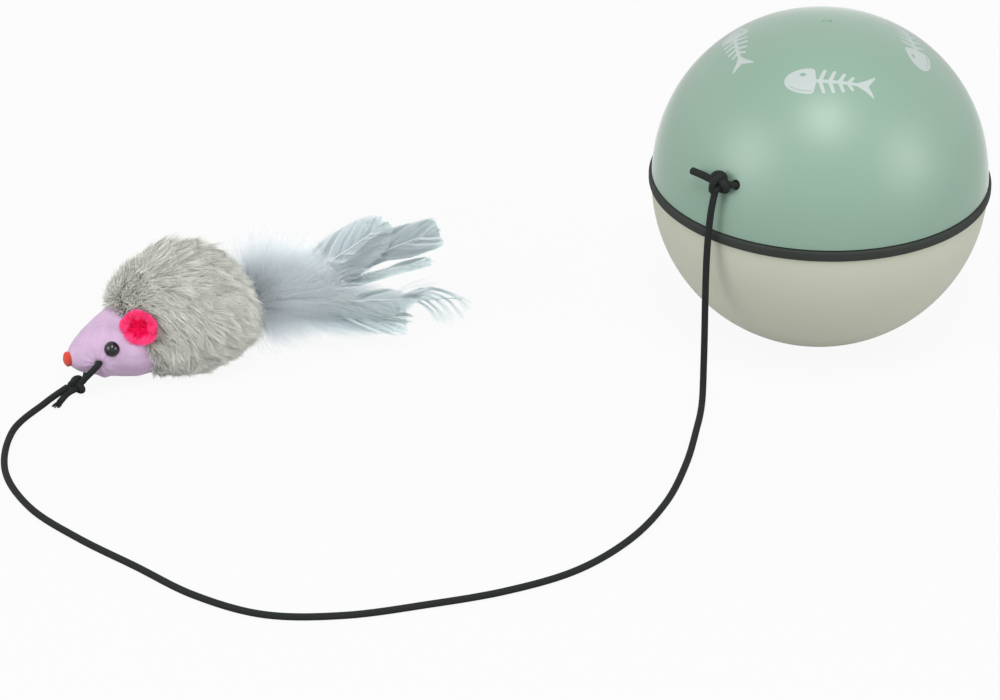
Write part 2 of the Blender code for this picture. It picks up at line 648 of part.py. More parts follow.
def gear_layout():
    """Where the gears stand and how their teeth are turned, from the motor to the spindle."""
    motor = Vector((MOTOR_X, MOTOR_Y))
    spindle = Vector((0, 0))
    reach = centre_distance(PINION_TEETH, FIRST_WHEEL_TEETH)
    first = motor + Vector((math.cos(math.radians(-5)), math.sin(math.radians(-5)))) * reach
    second = third_corner(first, spindle,
                          centre_distance(FIRST_PINION_TEETH, SECOND_WHEEL_TEETH),
                          centre_distance(SECOND_PINION_TEETH, OUTPUT_TEETH))
    phases = {"pinion": 0.0}
    way = math.atan2(*(first - motor).yx)
    phases["first"] = meshed_phase(way, PINION_TEETH, 0.0, FIRST_WHEEL_TEETH)
    way = math.atan2(*(second - first).yx)
    phases["second"] = meshed_phase(way, FIRST_PINION_TEETH, phases["first"],
                                    SECOND_WHEEL_TEETH)
    way = math.atan2(*(spindle - second).yx)
    phases["output"] = meshed_phase(way, SECOND_PINION_TEETH, phases["second"], OUTPUT_TEETH)
    return motor, first, second, phases


def compound_gear(name, axis, wheel, pinion, phase, level, look):
    """A wheel with a smaller pinion on top, moulded in one, turning on a pin."""
    low = GEAR_BASE + level * GEAR_STEP
    gear = place(name, extruded(name, gear_outline(wheel, phase), low, low + GEAR_FACE), look, axis)
    join(gear, f"{name}_pinion",
         extruded(name, gear_outline(pinion, phase), low + GEAR_FACE - EMBED,
                  low + GEAR_STEP + GEAR_FACE))
    bore = rod(GEAR_PIN_RADIUS + RUN_FIT, low - OVERRUN, low + 2 * GEAR_STEP + OVERRUN)
    cut(gear, f"{name}_bore", turned("bore", bore, PIN_STEPS))
    return gear


def make_gears(drive, gear_look, steel):
    """The pinion on the motor's shaft, two compound gears on pins, and their axes."""
    motor, first, second, phases = gear_layout()
    motor_axis = empty("motor_axis", (*motor, 0), drive)
    first_axis = empty("first_gear_axis", (*first, 0), drive)
    second_axis = empty("second_gear_axis", (*second, 0), drive)
    pinion = place("motor_pinion", extruded("motor_pinion", gear_outline(PINION_TEETH, 0.0),
                                            GEAR_BASE, GEAR_BASE + GEAR_FACE), gear_look,
                   motor_axis)
    bore = rod(MOTOR_SHAFT_RADIUS + RUN_FIT / 2, GEAR_BASE - OVERRUN, GEAR_TOP)
    cut(pinion, "motor_pinion_bore", turned("bore", bore, PIN_STEPS))
    shaft = rod(MOTOR_SHAFT_RADIUS, MOTOR_TOP + MOTOR_NOSE_LENGTH - MOTOR_SHAFT_HOLD,
                GEAR_BASE + GEAR_FACE + GEAR_LEVEL_GAP / 2)
    place("motor_shaft", turned("motor_shaft", shaft, PIN_STEPS), steel, motor_axis)
    compound_gear("first_gear", first_axis, FIRST_WHEEL_TEETH, FIRST_PINION_TEETH,
                  phases["first"], 0, gear_look)
    compound_gear("second_gear", second_axis, SECOND_WHEEL_TEETH, SECOND_PINION_TEETH,
                  phases["second"], 1, gear_look)
    for name, at in (("first_gear_pin", first), ("second_gear_pin", second)):
        pin = rod(GEAR_PIN_RADIUS, DECK_UNDERSIDE + SEAT_GAP, COVER_TOP - SEAT_GAP)
        place(name, turned(name, pin, PIN_STEPS), steel, drive, (*at, 0))
    return motor, first, second, phases


def make_spindle(parent, phases, gear_look, steel):
    """The spindle with its hexagon, the gear fixed on it, and the clip above the cover."""
    low = DECK_UNDERSIDE + SEAT_GAP
    spindle = place("spindle", turned("spindle", rod(SPINDLE_RADIUS, low,
                                                     SPINDLE_BOSS_END + EMBED), BUSH_STEPS),
                    steel, parent)
    join(spindle, "spindle_hexagon",
         extruded("spindle_hexagon", circle(HEX_RADIUS, 6), SPINDLE_BOSS_END,
                  SPINDLE_BOSS_END + HEX_LENGTH))
    low = GEAR_BASE + 2 * GEAR_STEP
    gear = place("output_gear", extruded("output_gear",
                                         gear_outline(OUTPUT_TEETH, phases["output"]),
                                         low, low + GEAR_FACE), gear_look, parent)
    hub = turned("hub", rod(BUSH_RADIUS, low - GEAR_LEVEL_GAP, low + EMBED), BUSH_STEPS)
    join(gear, "output_hub", hub)
    cut(gear, "output_bore",
        turned("bore", rod(SPINDLE_RADIUS + RUN_FIT / 2, low - OVERRUN - GEAR_LEVEL_GAP,
                           low + GEAR_FACE + OVERRUN), BUSH_STEPS))
    clip_low = COVER_TOP + BUSH_FLANGE_THICKNESS + 2 * SEAT_GAP
    ring = [(SPINDLE_RADIUS + SEAT_GAP / 2, clip_low), (CLIP_RADIUS, clip_low),
            (CLIP_RADIUS, clip_low + CLIP_THICKNESS),
            (SPINDLE_RADIUS + SEAT_GAP / 2, clip_low + CLIP_THICKNESS)]
    place("spindle_clip", turned("spindle_clip", ring, BUSH_STEPS), steel, parent)


def can_outline(radius, half_flat, at):
    """A circle with two opposite flats that face towards and away from the spindle."""
    bearing = math.atan2(at[1], at[0])
    reach = math.acos(half_flat / radius)
    outline = []
    for middle in (math.pi / 2, -math.pi / 2):
        start = middle - (math.pi / 2 - reach)
        for step in range(9):
            angle = bearing + start + (math.pi - 2 * reach) * step / 8
            outline.append((at[0] + radius * math.cos(angle), at[1] + radius * math.sin(angle)))
    return outline


def make_motor(drive, steel, dark):
    """The motor's can with its nose, and its end cap with two terminals."""
    at = (MOTOR_X, MOTOR_Y)
    can = place("motor_can", extruded("motor_can", can_outline(MOTOR_RADIUS, MOTOR_HALF_FLAT, at),
                                      MOTOR_BOTTOM, MOTOR_TOP), steel, drive)
    join(can, "motor_nose", turned("nose", rod(MOTOR_NOSE_RADIUS, MOTOR_TOP - EMBED,
                                               MOTOR_TOP + MOTOR_NOSE_LENGTH), BUSH_STEPS),
         (*at, 0))
    cut(can, "motor_bore",
        turned("bore", rod(MOTOR_SHAFT_RADIUS + RUN_FIT,
                           MOTOR_TOP + MOTOR_NOSE_LENGTH - MOTOR_SHAFT_HOLD - SEAT_GAP,
                           MOTOR_TOP + MOTOR_NOSE_LENGTH + OVERRUN), PIN_STEPS), (*at, 0))
    top = MOTOR_BOTTOM - SEAT_GAP
    cap = place("motor_end_cap",
                extruded("motor_end_cap",
                         can_outline(MOTOR_RADIUS - MOTOR_CAP_INSET,
                                     MOTOR_HALF_FLAT - MOTOR_CAP_INSET, at),
                         top - MOTOR_CAP_LENGTH, top), dark, drive)
    for side in (-1, 1):
        tab = block("tab", (MOTOR_TERMINAL_WIDTH, MOTOR_TERMINAL_THICKNESS,
                            MOTOR_TERMINAL_DROP + EMBED),
                    (at[0] + side * MOTOR_TERMINAL_SPREAD, at[1],
                     top - MOTOR_CAP_LENGTH - (MOTOR_TERMINAL_DROP - EMBED) / 2))
        join(cap, f"motor_tab_{side + 1}", tab)


def make_frame(drive, look, first, second):
    """The moulded frame: deck, foot, columns, motor sleeve, battery cradle and screw posts."""
    frame = place("drive_frame", extruded("drive_frame", circle(DECK_RADIUS, PLATE_STEPS),
                                          DECK_UNDERSIDE, DECK_TOP), look, drive)
    motor = (MOTOR_X, MOTOR_Y)
    battery = (BATTERY_X, BATTERY_Y)
    join(frame, "foot_plate", extruded("foot", circle(FOOT_RADIUS, PLATE_STEPS), FOOT_UNDERSIDE,
                                       FOOT_TOP))
    for number, at in enumerate(COLUMN_PLACES):
        column = rod(COLUMN_RADIUS, FOOT_TOP - EMBED, DECK_UNDERSIDE + EMBED)
        join(frame, f"column_{number}", turned("column", column, PIN_STEPS), (*at, 0))
    sleeve = SLIDE_FIT + SLEEVE_WALL
    join(frame, "motor_sleeve",
         extruded("sleeve", can_outline(MOTOR_RADIUS + sleeve, MOTOR_HALF_FLAT + sleeve, motor),
                  DECK_UNDERSIDE - SLEEVE_LENGTH, DECK_UNDERSIDE + EMBED))
    half = CRADLE_HALF + CRADLE_WALL
    cradle = [(0, -half), (CRADLE_RADIUS - CRADLE_END_INSET, -half),
              (CRADLE_RADIUS, -CRADLE_HALF), (CRADLE_RADIUS, CRADLE_HALF),
              (CRADLE_RADIUS - CRADLE_END_INSET, half), (0, half)]
    join(frame, "battery_cradle", turned("cradle", cradle, CRADLE_STEPS), (*battery, 0))
    join(frame, "pivot_housing",
         turned("housing", rod(SPINDLE_RADIUS + PIVOT_HOUSING_WALL,
                               FOOT_UNDERSIDE - PIVOT_HOUSING_DROP, FOOT_TOP - EMBED),
                BUSH_STEPS))
    for number, at in enumerate(POST_PLACES):
        post_top = COVER_UNDERSIDE - SEAT_GAP
        pilot_floor = COVER_TOP - SCREW_LENGTH - SEAT_GAP
        post = [(0, DECK_TOP - EMBED), (POST_RADIUS, DECK_TOP - EMBED), (POST_RADIUS, post_top),
                (SCREW_RADIUS + SEAT_GAP, post_top), (SCREW_RADIUS + SEAT_GAP, pilot_floor),
                (0, pilot_floor)]
        join(frame, f"post_{number}", turned("post", post, PIN_STEPS), (*at, 0))
    cut(frame, "motor_room",
        extruded("motor_room", can_outline(MOTOR_RADIUS + SLIDE_FIT, MOTOR_HALF_FLAT + SLIDE_FIT,
                                           motor),
                 DECK_UNDERSIDE - SLEEVE_LENGTH - OVERRUN, DECK_UNDERSIDE))
    cut(frame, "motor_nose_hole",
        turned("hole", rod(MOTOR_NOSE_RADIUS + SLIDE_FIT, DECK_UNDERSIDE - OVERRUN,
                           DECK_TOP + OVERRUN), BUSH_STEPS), (*motor, 0))
    cut(frame, "battery_room",
        turned("room", rod(CRADLE_BORE, -CRADLE_HALF, CRADLE_HALF), CRADLE_STEPS), (*battery, 0))
    bearing = math.atan2(BATTERY_Y, BATTERY_X)
    mouth = block("mouth", (CRADLE_RADIUS * 2, CRADLE_MOUTH, BATTERY_LENGTH),
                  (CRADLE_RADIUS, 0, 0))
    mouth.transform(Matrix.Translation((*battery, 0)) @ Matrix.Rotation(bearing, 4, "Z"))
    cut(frame, "battery_mouth", mouth)
    window = block("window", (CRADLE_RADIUS * 2, CRADLE_WINDOW, CRADLE_WINDOW * 2),
                   (-CRADLE_RADIUS, 0, -CRADLE_WINDOW))
    window.transform(Matrix.Translation((*battery, 0)) @ Matrix.Rotation(bearing, 4, "Z"))
    cut(frame, "battery_window", window)
    tip = GEAR_MODULE * (OUTPUT_TEETH / 2 + ADDENDUM_SHARE)
    cut(frame, "output_gear_room",
        turned("room", rod(tip + GEAR_LEVEL_GAP, GEAR_BASE + 2 * GEAR_STEP - GEAR_LEVEL_GAP,
                           COVER_UNDERSIDE), CRADLE_STEPS))
    cut(frame, "spindle_bush_hole",
        turned("hole", rod(BUSH_RADIUS + RUN_FIT, DECK_UNDERSIDE - OVERRUN, DECK_TOP + OVERRUN),
               BUSH_STEPS))
    cut(frame, "pivot_hole",
        turned("hole", rod(SPINDLE_RADIUS + RUN_FIT, FOOT_UNDERSIDE - PIVOT_HOUSING_DROP
                           - OVERRUN, FOOT_TOP + OVERRUN), BUSH_STEPS))
    for number, at in enumerate((first, second)):
        hole = rod(GEAR_PIN_RADIUS + RUN_FIT, DECK_UNDERSIDE - OVERRUN, DECK_TOP + OVERRUN)
        cut(frame, f"gear_pin_hole_{number}", turned("hole", hole, PIN_STEPS), (*at, 0))
    cut(frame, "wire_slot",
        block("wire_slot", (PLATE_SLOT_WIDTH, PLATE_SLOT_LENGTH, PLATE_THICKNESS + 2 * OVERRUN),
              (COLUMN_PLACES[1][0] / 2, COLUMN_PLACES[1][1], FOOT_TOP - PLATE_THICKNESS / 2)))
    return frame


def make_cover(drive, look, first, second):
    """The plate over the gears, held by four screws."""
    cover = place("gear_cover", extruded("gear_cover", circle(COVER_RADIUS, PLATE_STEPS),
                                         COVER_UNDERSIDE, COVER_TOP), look, drive)
    low = COVER_UNDERSIDE - OVERRUN
    high = COVER_TOP + OVERRUN
    cut(cover, "cover_battery_hole",
        turned("hole", rod(CRADLE_RADIUS + SLIDE_FIT, low, high), CRADLE_STEPS),
        (BATTERY_X, BATTERY_Y, 0))
    cut(cover, "cover_bush_hole",
        turned("hole", rod(BUSH_RADIUS + RUN_FIT, low, high), BUSH_STEPS))
    for number, at in enumerate((first, second)):
        cut(cover, f"cover_pin_hole_{number}",
            turned("hole", rod(GEAR_PIN_RADIUS + RUN_FIT, low, high), PIN_STEPS), (*at, 0))
    for number, at in enumerate(POST_PLACES):
        cut(cover, f"cover_screw_hole_{number}",
            turned("hole", rod(SCREW_RADIUS + SEAT_GAP, low, high), PIN_STEPS), (*at, 0))
    return cover


def make_screws(drive, steel):
    """Four pan head screws through the cover into the posts."""
    for number, at in enumerate(POST_PLACES, start=1):
        seat = COVER_TOP + SEAT_GAP
        outline = [(0, COVER_TOP - SCREW_LENGTH), (SCREW_RADIUS, COVER_TOP - SCREW_LENGTH),
                   (SCREW_RADIUS, seat), (SCREW_HEAD_RADIUS, seat),
                   (SCREW_HEAD_RADIUS, seat + SCREW_HEAD_HEIGHT / 2),
                   (SCREW_HEAD_RADIUS - SCREW_HEAD_HEIGHT / 2, seat + SCREW_HEAD_HEIGHT),
                   (0, seat + SCREW_HEAD_HEIGHT)]
        screw = place(f"cover_screw_{number}", turned("cover_screw", outline, PIN_STEPS), steel,
                      drive, (*at, 0))
        cut(screw, f"screw_slot_{number}",
            block("slot", (SCREW_HEAD_RADIUS * 3, SCREW_SLOT_WIDTH, SCREW_SLOT_DEPTH * 2),
                  (0, 0, seat + SCREW_HEAD_HEIGHT)), (*at, 0))


def flanged_bush(name, low, length, flange_side, look, parent):
    """A plain bearing bush with a flange at one end."""
    bore = SPINDLE_RADIUS + RUN_FIT
    flange = BUSH_RADIUS + BUSH_FLANGE
    top = low + length
    if flange_side > 0:
        outline = [(bore, low), (BUSH_RADIUS, low), (BUSH_RADIUS, top), (flange, top),
                   (flange, top + BUSH_FLANGE_THICKNESS), (bore, top + BUSH_FLANGE_THICKNESS)]
    else:
        outline = [(bore, low - BUSH_FLANGE_THICKNESS), (flange, low - BUSH_FLANGE_THICKNESS),
                   (flange, low), (BUSH_RADIUS, low), (BUSH_RADIUS, top), (bore, top)]
    return place(name, turned(name, outline, BUSH_STEPS), look, parent)


def make_bearings(ball, drive, bronze, steel):
    """Bushes for the spindle in the deck and cover, and the pivot pin with its bush below."""
    flanged_bush("deck_bush", DECK_UNDERSIDE, PLATE_THICKNESS + SEAT_GAP / 2, 1, bronze, drive)
    flanged_bush("cover_bush", COVER_UNDERSIDE, COVER_THICKNESS + SEAT_GAP / 2, 1, bronze, drive)
    flanged_bush("pivot_bush", PIVOT_BOSS_TOP - PIVOT_BORE_DEPTH + SEAT_GAP,
                 PIVOT_BORE_DEPTH, 1, bronze, ball)
    head = FOOT_TOP + SEAT_GAP
    end = PIVOT_BOSS_TOP - PIVOT_BORE_DEPTH + 2 * SEAT_GAP
    outline = [(0, end), (SPINDLE_RADIUS, end), (SPINDLE_RADIUS, head), (PIVOT_HEAD_RADIUS, head),
               (PIVOT_HEAD_RADIUS, head + PIVOT_HEAD_THICKNESS), (0, head + PIVOT_HEAD_THICKNESS)]
    place("pivot_pin", turned("pivot_pin", outline, BUSH_STEPS), steel, drive)


def make_battery(drive, jacket, steel, brass):
    """The AA cell, the coil spring at its flat end and the plate at its nub."""
    at = (BATTERY_X, BATTERY_Y, 0)
    low = BATTERY_BOTTOM
    shoulder = low + BATTERY_LENGTH - BATTERY_NUB_HEIGHT
    outline = [(0, low), (BATTERY_RADIUS - BATTERY_EDGE, low),
               (BATTERY_RADIUS, low + BATTERY_EDGE), (BATTERY_RADIUS, shoulder - BATTERY_EDGE),
               (BATTERY_RADIUS - BATTERY_EDGE, shoulder), (BATTERY_NUB_RADIUS, shoulder),
               (BATTERY_NUB_RADIUS, shoulder + BATTERY_NUB_HEIGHT),
               (0, shoulder + BATTERY_NUB_HEIGHT)]
    place("battery", turned("battery", outline, CRADLE_STEPS), jacket, drive, at)
    plates = (("battery_plate_low", -CRADLE_HALF + SEAT_GAP / 2),
              ("battery_plate_high", CRADLE_HALF - SEAT_GAP / 2 - CONTACT_THICKNESS))
    for name, base in plates:
        plate = rod(CONTACT_RADIUS, base, base + CONTACT_THICKNESS)
        place(name, turned(name, plate, BUSH_STEPS), brass, drive, at)
    start = -CRADLE_HALF + SEAT_GAP + CONTACT_THICKNESS + SPRING_WIRE_RADIUS
    rise = SPRING_LENGTH - SEAT_GAP - 2 * SPRING_WIRE_RADIUS
    points = []
    steps = round(SPRING_TURNS * 12)
    for step in range(steps + 1):
        share = step / steps
        radius = SPRING_BASE_RADIUS + (SPRING_TIP_RADIUS - SPRING_BASE_RADIUS) * share
        angle = math.tau * SPRING_TURNS * share
        points.append(Vector((BATTERY_X + radius * math.cos(angle),
                              BATTERY_Y + radius * math.sin(angle), start + rise * share)))
    tube("battery_spring", points, SPRING_WIRE_RADIUS, steel, drive, 1)


def make_switch(drive, steel, dark):
    """The slide switch under the foot plate, and its knob, drawn in the off place."""
    top = FOOT_UNDERSIDE - SEAT_GAP
    body = place("switch_body", block("switch_body", (SWITCH_WIDTH, SWITCH_LENGTH, SWITCH_HEIGHT),
                                      (SWITCH_X, SWITCH_Y, top - SWITCH_HEIGHT / 2)), steel,
                 drive, smooth=10.0)
    bottom = top - SWITCH_HEIGHT
    foot = KNOB_FOOT_LENGTH + SWITCH_TRAVEL + 2 * SLIDE_FIT
    cut(body, "knob_room",
        block("room", (KNOB_WIDTH + 2 * SLIDE_FIT, foot, KNOB_ROOT + 2 * SLIDE_FIT),
              (SWITCH_X, SWITCH_Y, bottom + KNOB_ROOT / 2 + SLIDE_FIT + EMBED)))
    cut(body, "knob_slot",
        block("slot", (KNOB_WIDTH + 2 * SLIDE_FIT, KNOB_LENGTH + SWITCH_TRAVEL + 2 * SLIDE_FIT,
                       2 * EMBED + 2 * SLIDE_FIT), (SWITCH_X, SWITCH_Y, bottom)))
    start = SWITCH_Y - SWITCH_TRAVEL / 2
    axis = empty("switch_slide_axis", (SWITCH_X, start, bottom), drive)
    knob = place("switch_knob", block("switch_knob", (KNOB_WIDTH, KNOB_FOOT_LENGTH, KNOB_ROOT),
                                      (0, 0, EMBED + SLIDE_FIT + KNOB_ROOT / 2)), dark, axis,
                 smooth=10.0)
    join(knob, "knob_stem",
         block("stem", (KNOB_WIDTH, KNOB_LENGTH, KNOB_DROP + 2 * EMBED + SLIDE_FIT),
               (0, 0, (2 * EMBED + SLIDE_FIT - KNOB_DROP) / 2)))


def make_anchor(ball, cord_look):
    """The loop through both holes, the knot over the bridge and the short free end."""
    knot_radius = BALL_RADIUS + SEAT_GAP + KNOT_HALF_DEPTH
    middle = anchor_direction(0.0)
    knot = knot_mesh("cord_knot", (KNOT_HALF_WIDTH, KNOT_HALF_HEIGHT, KNOT_HALF_DEPTH))
    across = anchor_direction(ANCHOR_HALF_SPAN) - anchor_direction(-ANCHOR_HALF_SPAN)
    frame_turn = Matrix((across.normalized(), middle.cross(across.normalized()),
                         middle)).transposed().to_4x4()
    knot.transform(Matrix.Translation(anchor_point(0.0, knot_radius)) @ frame_turn)
    place("cord_knot", knot, cord_look, ball)
    route = [anchor_point(-ANCHOR_HALF_SPAN, BALL_RADIUS + LOOP_RISE),
             anchor_point(-ANCHOR_HALF_SPAN, INNER_RADIUS + SHELL_WALL / 2),
             anchor_point(-ANCHOR_HALF_SPAN, INNER_RADIUS - CORD_RADIUS / 2),
             anchor_point(0.0, INNER_RADIUS - CORD_RADIUS - LOOP_INSIDE),
             anchor_point(ANCHOR_HALF_SPAN, INNER_RADIUS - CORD_RADIUS / 2),
             anchor_point(ANCHOR_HALF_SPAN, INNER_RADIUS + SHELL_WALL / 2),
             anchor_point(ANCHOR_HALF_SPAN, BALL_RADIUS + LOOP_RISE)]
    points, _ = smooth_points(route, CORD_RADIUS * 1.5)
    tube("anchor_loop", points, CORD_RADIUS, cord_look, ball)
    edge = KNOT_HALF_WIDTH + SEAT_GAP + CORD_RADIUS / 2
    high = BALL_RADIUS + LOOP_RISE + 2 * CORD_RADIUS + SEAT_GAP
    start = anchor_point(-edge, high)
    end = anchor_point(-edge - TAIL_LENGTH, high, -TAIL_DROP)
    points, _ = smooth_points([start, (start + end) / 2, end], CORD_RADIUS * 3)
    tube("cord_tail", points, CORD_RADIUS, cord_look, ball)


def knot_mesh(name, radii):
    """A rounded lump of three half sizes, standing for a tight overhand knot."""
    bm = bmesh.new()
    bmesh.ops.create_uvsphere(bm, u_segments=10, v_segments=7, radius=1.0)
    bmesh.ops.scale(bm, vec=radii, verts=bm.verts)
    return mesh_from(bm, name)


def make_cord(look):
    """The free stretch of the cord, down to the floor and round to the mouse."""
    route = [Vector(point) * MM for point in CORD_ROUTE_MM]
    points, length = smooth_points(route, CORD_POINT_SPACING)
    tube("cord", points, CORD_RADIUS, look)
    print(f"cord: {length / MM:.1f} mm in {len(points)} points")


def ring_at(x, z, radius, lean=0.0, steps=SOFT_STEPS):
    """A ring of points across the mouse, at a distance behind its nose, its top leaning on."""
    return [(x - lean * radius * math.sin(math.tau * index / steps),
             radius * math.cos(math.tau * index / steps),
             z + radius * math.sin(math.tau * index / steps)) for index in range(steps)]


def head_height(share):
    """Height of the head's middle line, which climbs from the snout to the neck."""
    return SNOUT_HEIGHT + (HEAD_RADIUS + FLOOR_CUT - SNOUT_HEIGHT) * min(1.0, share * 2)


def head_radius(share):
    """Radius of the head at a share of its length, between the stations of its table."""
    for (low, low_radius), (high, high_radius) in zip(HEAD_SHARES, HEAD_SHARES[1:]):
        if share <= high:
            mixed = low_radius + (high_radius - low_radius) * (share - low) / (high - low)
            return HEAD_RADIUS * mixed
    return HEAD_RADIUS * HEAD_SHARES[-1][1]


def body_mesh(name, grown=0.0):
    """The plush body, or with a growth the room that it takes out of its neighbours."""
    rings = []
    for along, size, rise, lean in BODY_SHARES:
        radius = BODY_RADIUS * size + grown
        push = grown * (2 * along - 1)
        rings.append(ring_at(BODY_START + BODY_LENGTH * along + push,
                             BODY_RADIUS * (1 + rise) - FLOOR_CUT, radius, lean))
    return lofted(name, rings)


def make_mouse(looks):
    """Head, fur body, nose, eyes, ears and feathers, in the mouse's own frame."""
    mouse = empty("mouse", (MOUSE_X, MOUSE_Y, 0))
    mouse.rotation_euler = (0, 0, MOUSE_YAW)
    floor = block("floor", (BODY_LENGTH * 4, BODY_LENGTH * 4, BODY_RADIUS * 2),
                  (BODY_LENGTH, 0, -BODY_RADIUS))
    body = place("mouse_body", body_mesh("mouse_body"), looks["fur"], mouse, smooth=60.0)
    cut(body, "body_floor", floor)
    rings = [ring_at(HEAD_START + HEAD_LENGTH * along, head_height(along), HEAD_RADIUS * size)
             for along, size in HEAD_SHARES]
    head = place("mouse_head", lofted("mouse_head", rings), looks["felt"], mouse, smooth=60.0)
    cut(head, "head_room", body_mesh("head_room", SEAT_GAP))
    cut(head, "head_floor", floor.copy())
    nose_at = (0, 0, SNOUT_HEIGHT)
    nose = knot_mesh("mouse_nose", (NOSE_LENGTH, NOSE_RADIUS, NOSE_RADIUS))
    place("mouse_nose", nose, looks["nose"], mouse, nose_at)
    cut(head, "nose_room", knot_mesh("nose_room", (NOSE_LENGTH + SEAT_GAP,
                                                   NOSE_RADIUS + SEAT_GAP,
                                                   NOSE_RADIUS + SEAT_GAP)), nose_at)
    for name, side in (("left", 1), ("right", -1)):
        lift = EYE_LIFT - side * HEAD_ROLL
        reach = head_radius(EYE_SHARE) - EYE_SINK
        eye_at = (HEAD_START + HEAD_LENGTH * EYE_SHARE, side * reach * math.cos(lift),
                  head_height(EYE_SHARE) + reach * math.sin(lift))
        eye = knot_mesh(f"eye_{name}", (EYE_RADIUS,) * 3)
        place(f"mouse_eye_{name}", eye, looks["bead"], mouse, eye_at)
        room = knot_mesh("eye_room", (EYE_RADIUS + SEAT_GAP,) * 3)
        cut(head, f"eye_room_{name}", room, eye_at)
        lift = EAR_LIFT - side * HEAD_ROLL
        reach = head_radius(EAR_SHARE) + SEAT_GAP - EAR_TUCK
        root = Vector((HEAD_START + HEAD_LENGTH * EAR_SHARE, side * reach * math.cos(lift),
                       head_height(EAR_SHARE) + reach * math.sin(lift)))
        out = Vector((0, side * math.cos(lift), math.sin(lift)))
        facing = Vector((-0.6, side * 0.8, 0.1)).normalized()
        up = (out - facing * out.dot(facing)).normalized()
        ear = pointing(ear_mesh(f"ear_{name}"), facing, root + up * EAR_RADIUS)
        ear_piece = place(f"mouse_ear_{name}", ear, looks["ear"], mouse, smooth=60.0)
        cut(ear_piece, f"ear_body_room_{name}", body_mesh("ear_room", SEAT_GAP))
    make_feathers(mouse, looks["feather"])
    return mouse


def ear_mesh(name):
    """A shallow round cup, the ruffled ear's place."""
    outline = [(0, EAR_DISH), (EAR_RADIUS * 0.6, EAR_DISH * 1.4), (EAR_RADIUS, EAR_THICKNESS),
               (EAR_RADIUS, EAR_THICKNESS - EAR_DISH), (EAR_RADIUS * 0.6, 0),
               (0, -EAR_DISH / 2)]
    return turned(name, outline, 16)


def make_feathers(mouse, look):
    """Five feathers that fan out behind the body, one above another."""
    count = len(FEATHERS)
    rear = BODY_START + BODY_LENGTH + SEAT_GAP
    for number, (name, length_share, width_share, climb, swing) in enumerate(FEATHERS):
        length = FEATHER_LENGTH * length_share
        half = FEATHER_HALF_WIDTH * width_share
        rings = []
        for along, wide in FEATHER_SHARES:
            y = half * wide
            dip = FEATHER_CAMBER * along ** 2
            thick = FEATHER_THICKNESS / 2
            rings.append([(length * along, -y, -dip), (length * along, 0, thick - dip),
                          (length * along, y, -dip), (length * along, 0, -thick - dip)])
        mesh = lofted(name, rings)
        height = BODY_REAR_HEIGHT + (number - (count - 1) / 2) * FEATHER_STEP
        stand_off = half * FEATHER_SHARES[0][1] * abs(math.sin(math.radians(swing)))
        mesh.transform(Matrix.Translation((rear + stand_off, 0, height))
                       @ Matrix.Rotation(math.radians(swing), 4, "Z")
                       @ Matrix.Rotation(-math.radians(climb), 4, "Y"))
        place(name, mesh, look, mouse, smooth=60.0)


def make_mouse_knot(mouse, look):
    """The knot under the chin, its free end, and the two strands into the snout."""
    at = Vector((MOUSE_KNOT_BACK, MOUSE_KNOT_SIDE, MOUSE_KNOT_RADIUS + FLOOR_CUT))
    place("mouse_knot", knot_mesh("mouse_knot", (MOUSE_KNOT_RADIUS,) * 3), look, mouse, at)
    points, _ = smooth_points([Vector(point) * MM for point in MOUSE_TAIL_ROUTE_MM],
                              CORD_RADIUS * 3)
    tube("mouse_tail", points, CORD_RADIUS, look)
    for name, side in (("near", -1), ("far", 1)):
        start = at + Vector((0, side, 0)) * (MOUSE_KNOT_RADIUS + SEAT_GAP * 2 + CORD_RADIUS / 2)
        route = [start]
        for back, drop in SNOUT_STRAND_WAYS[name]:
            share = (HEAD_LENGTH * back - HEAD_START) / HEAD_LENGTH
            reach = head_radius(share) + CORD_RADIUS * 2
            route.append(Vector((HEAD_LENGTH * back, side * reach * math.cos(math.radians(drop)),
                                 head_height(share) - reach * math.sin(math.radians(drop)))))
        points, _ = smooth_points(route, CORD_RADIUS * 1.5)
        tube(f"snout_strand_{name}", points, CORD_RADIUS, look, mouse)


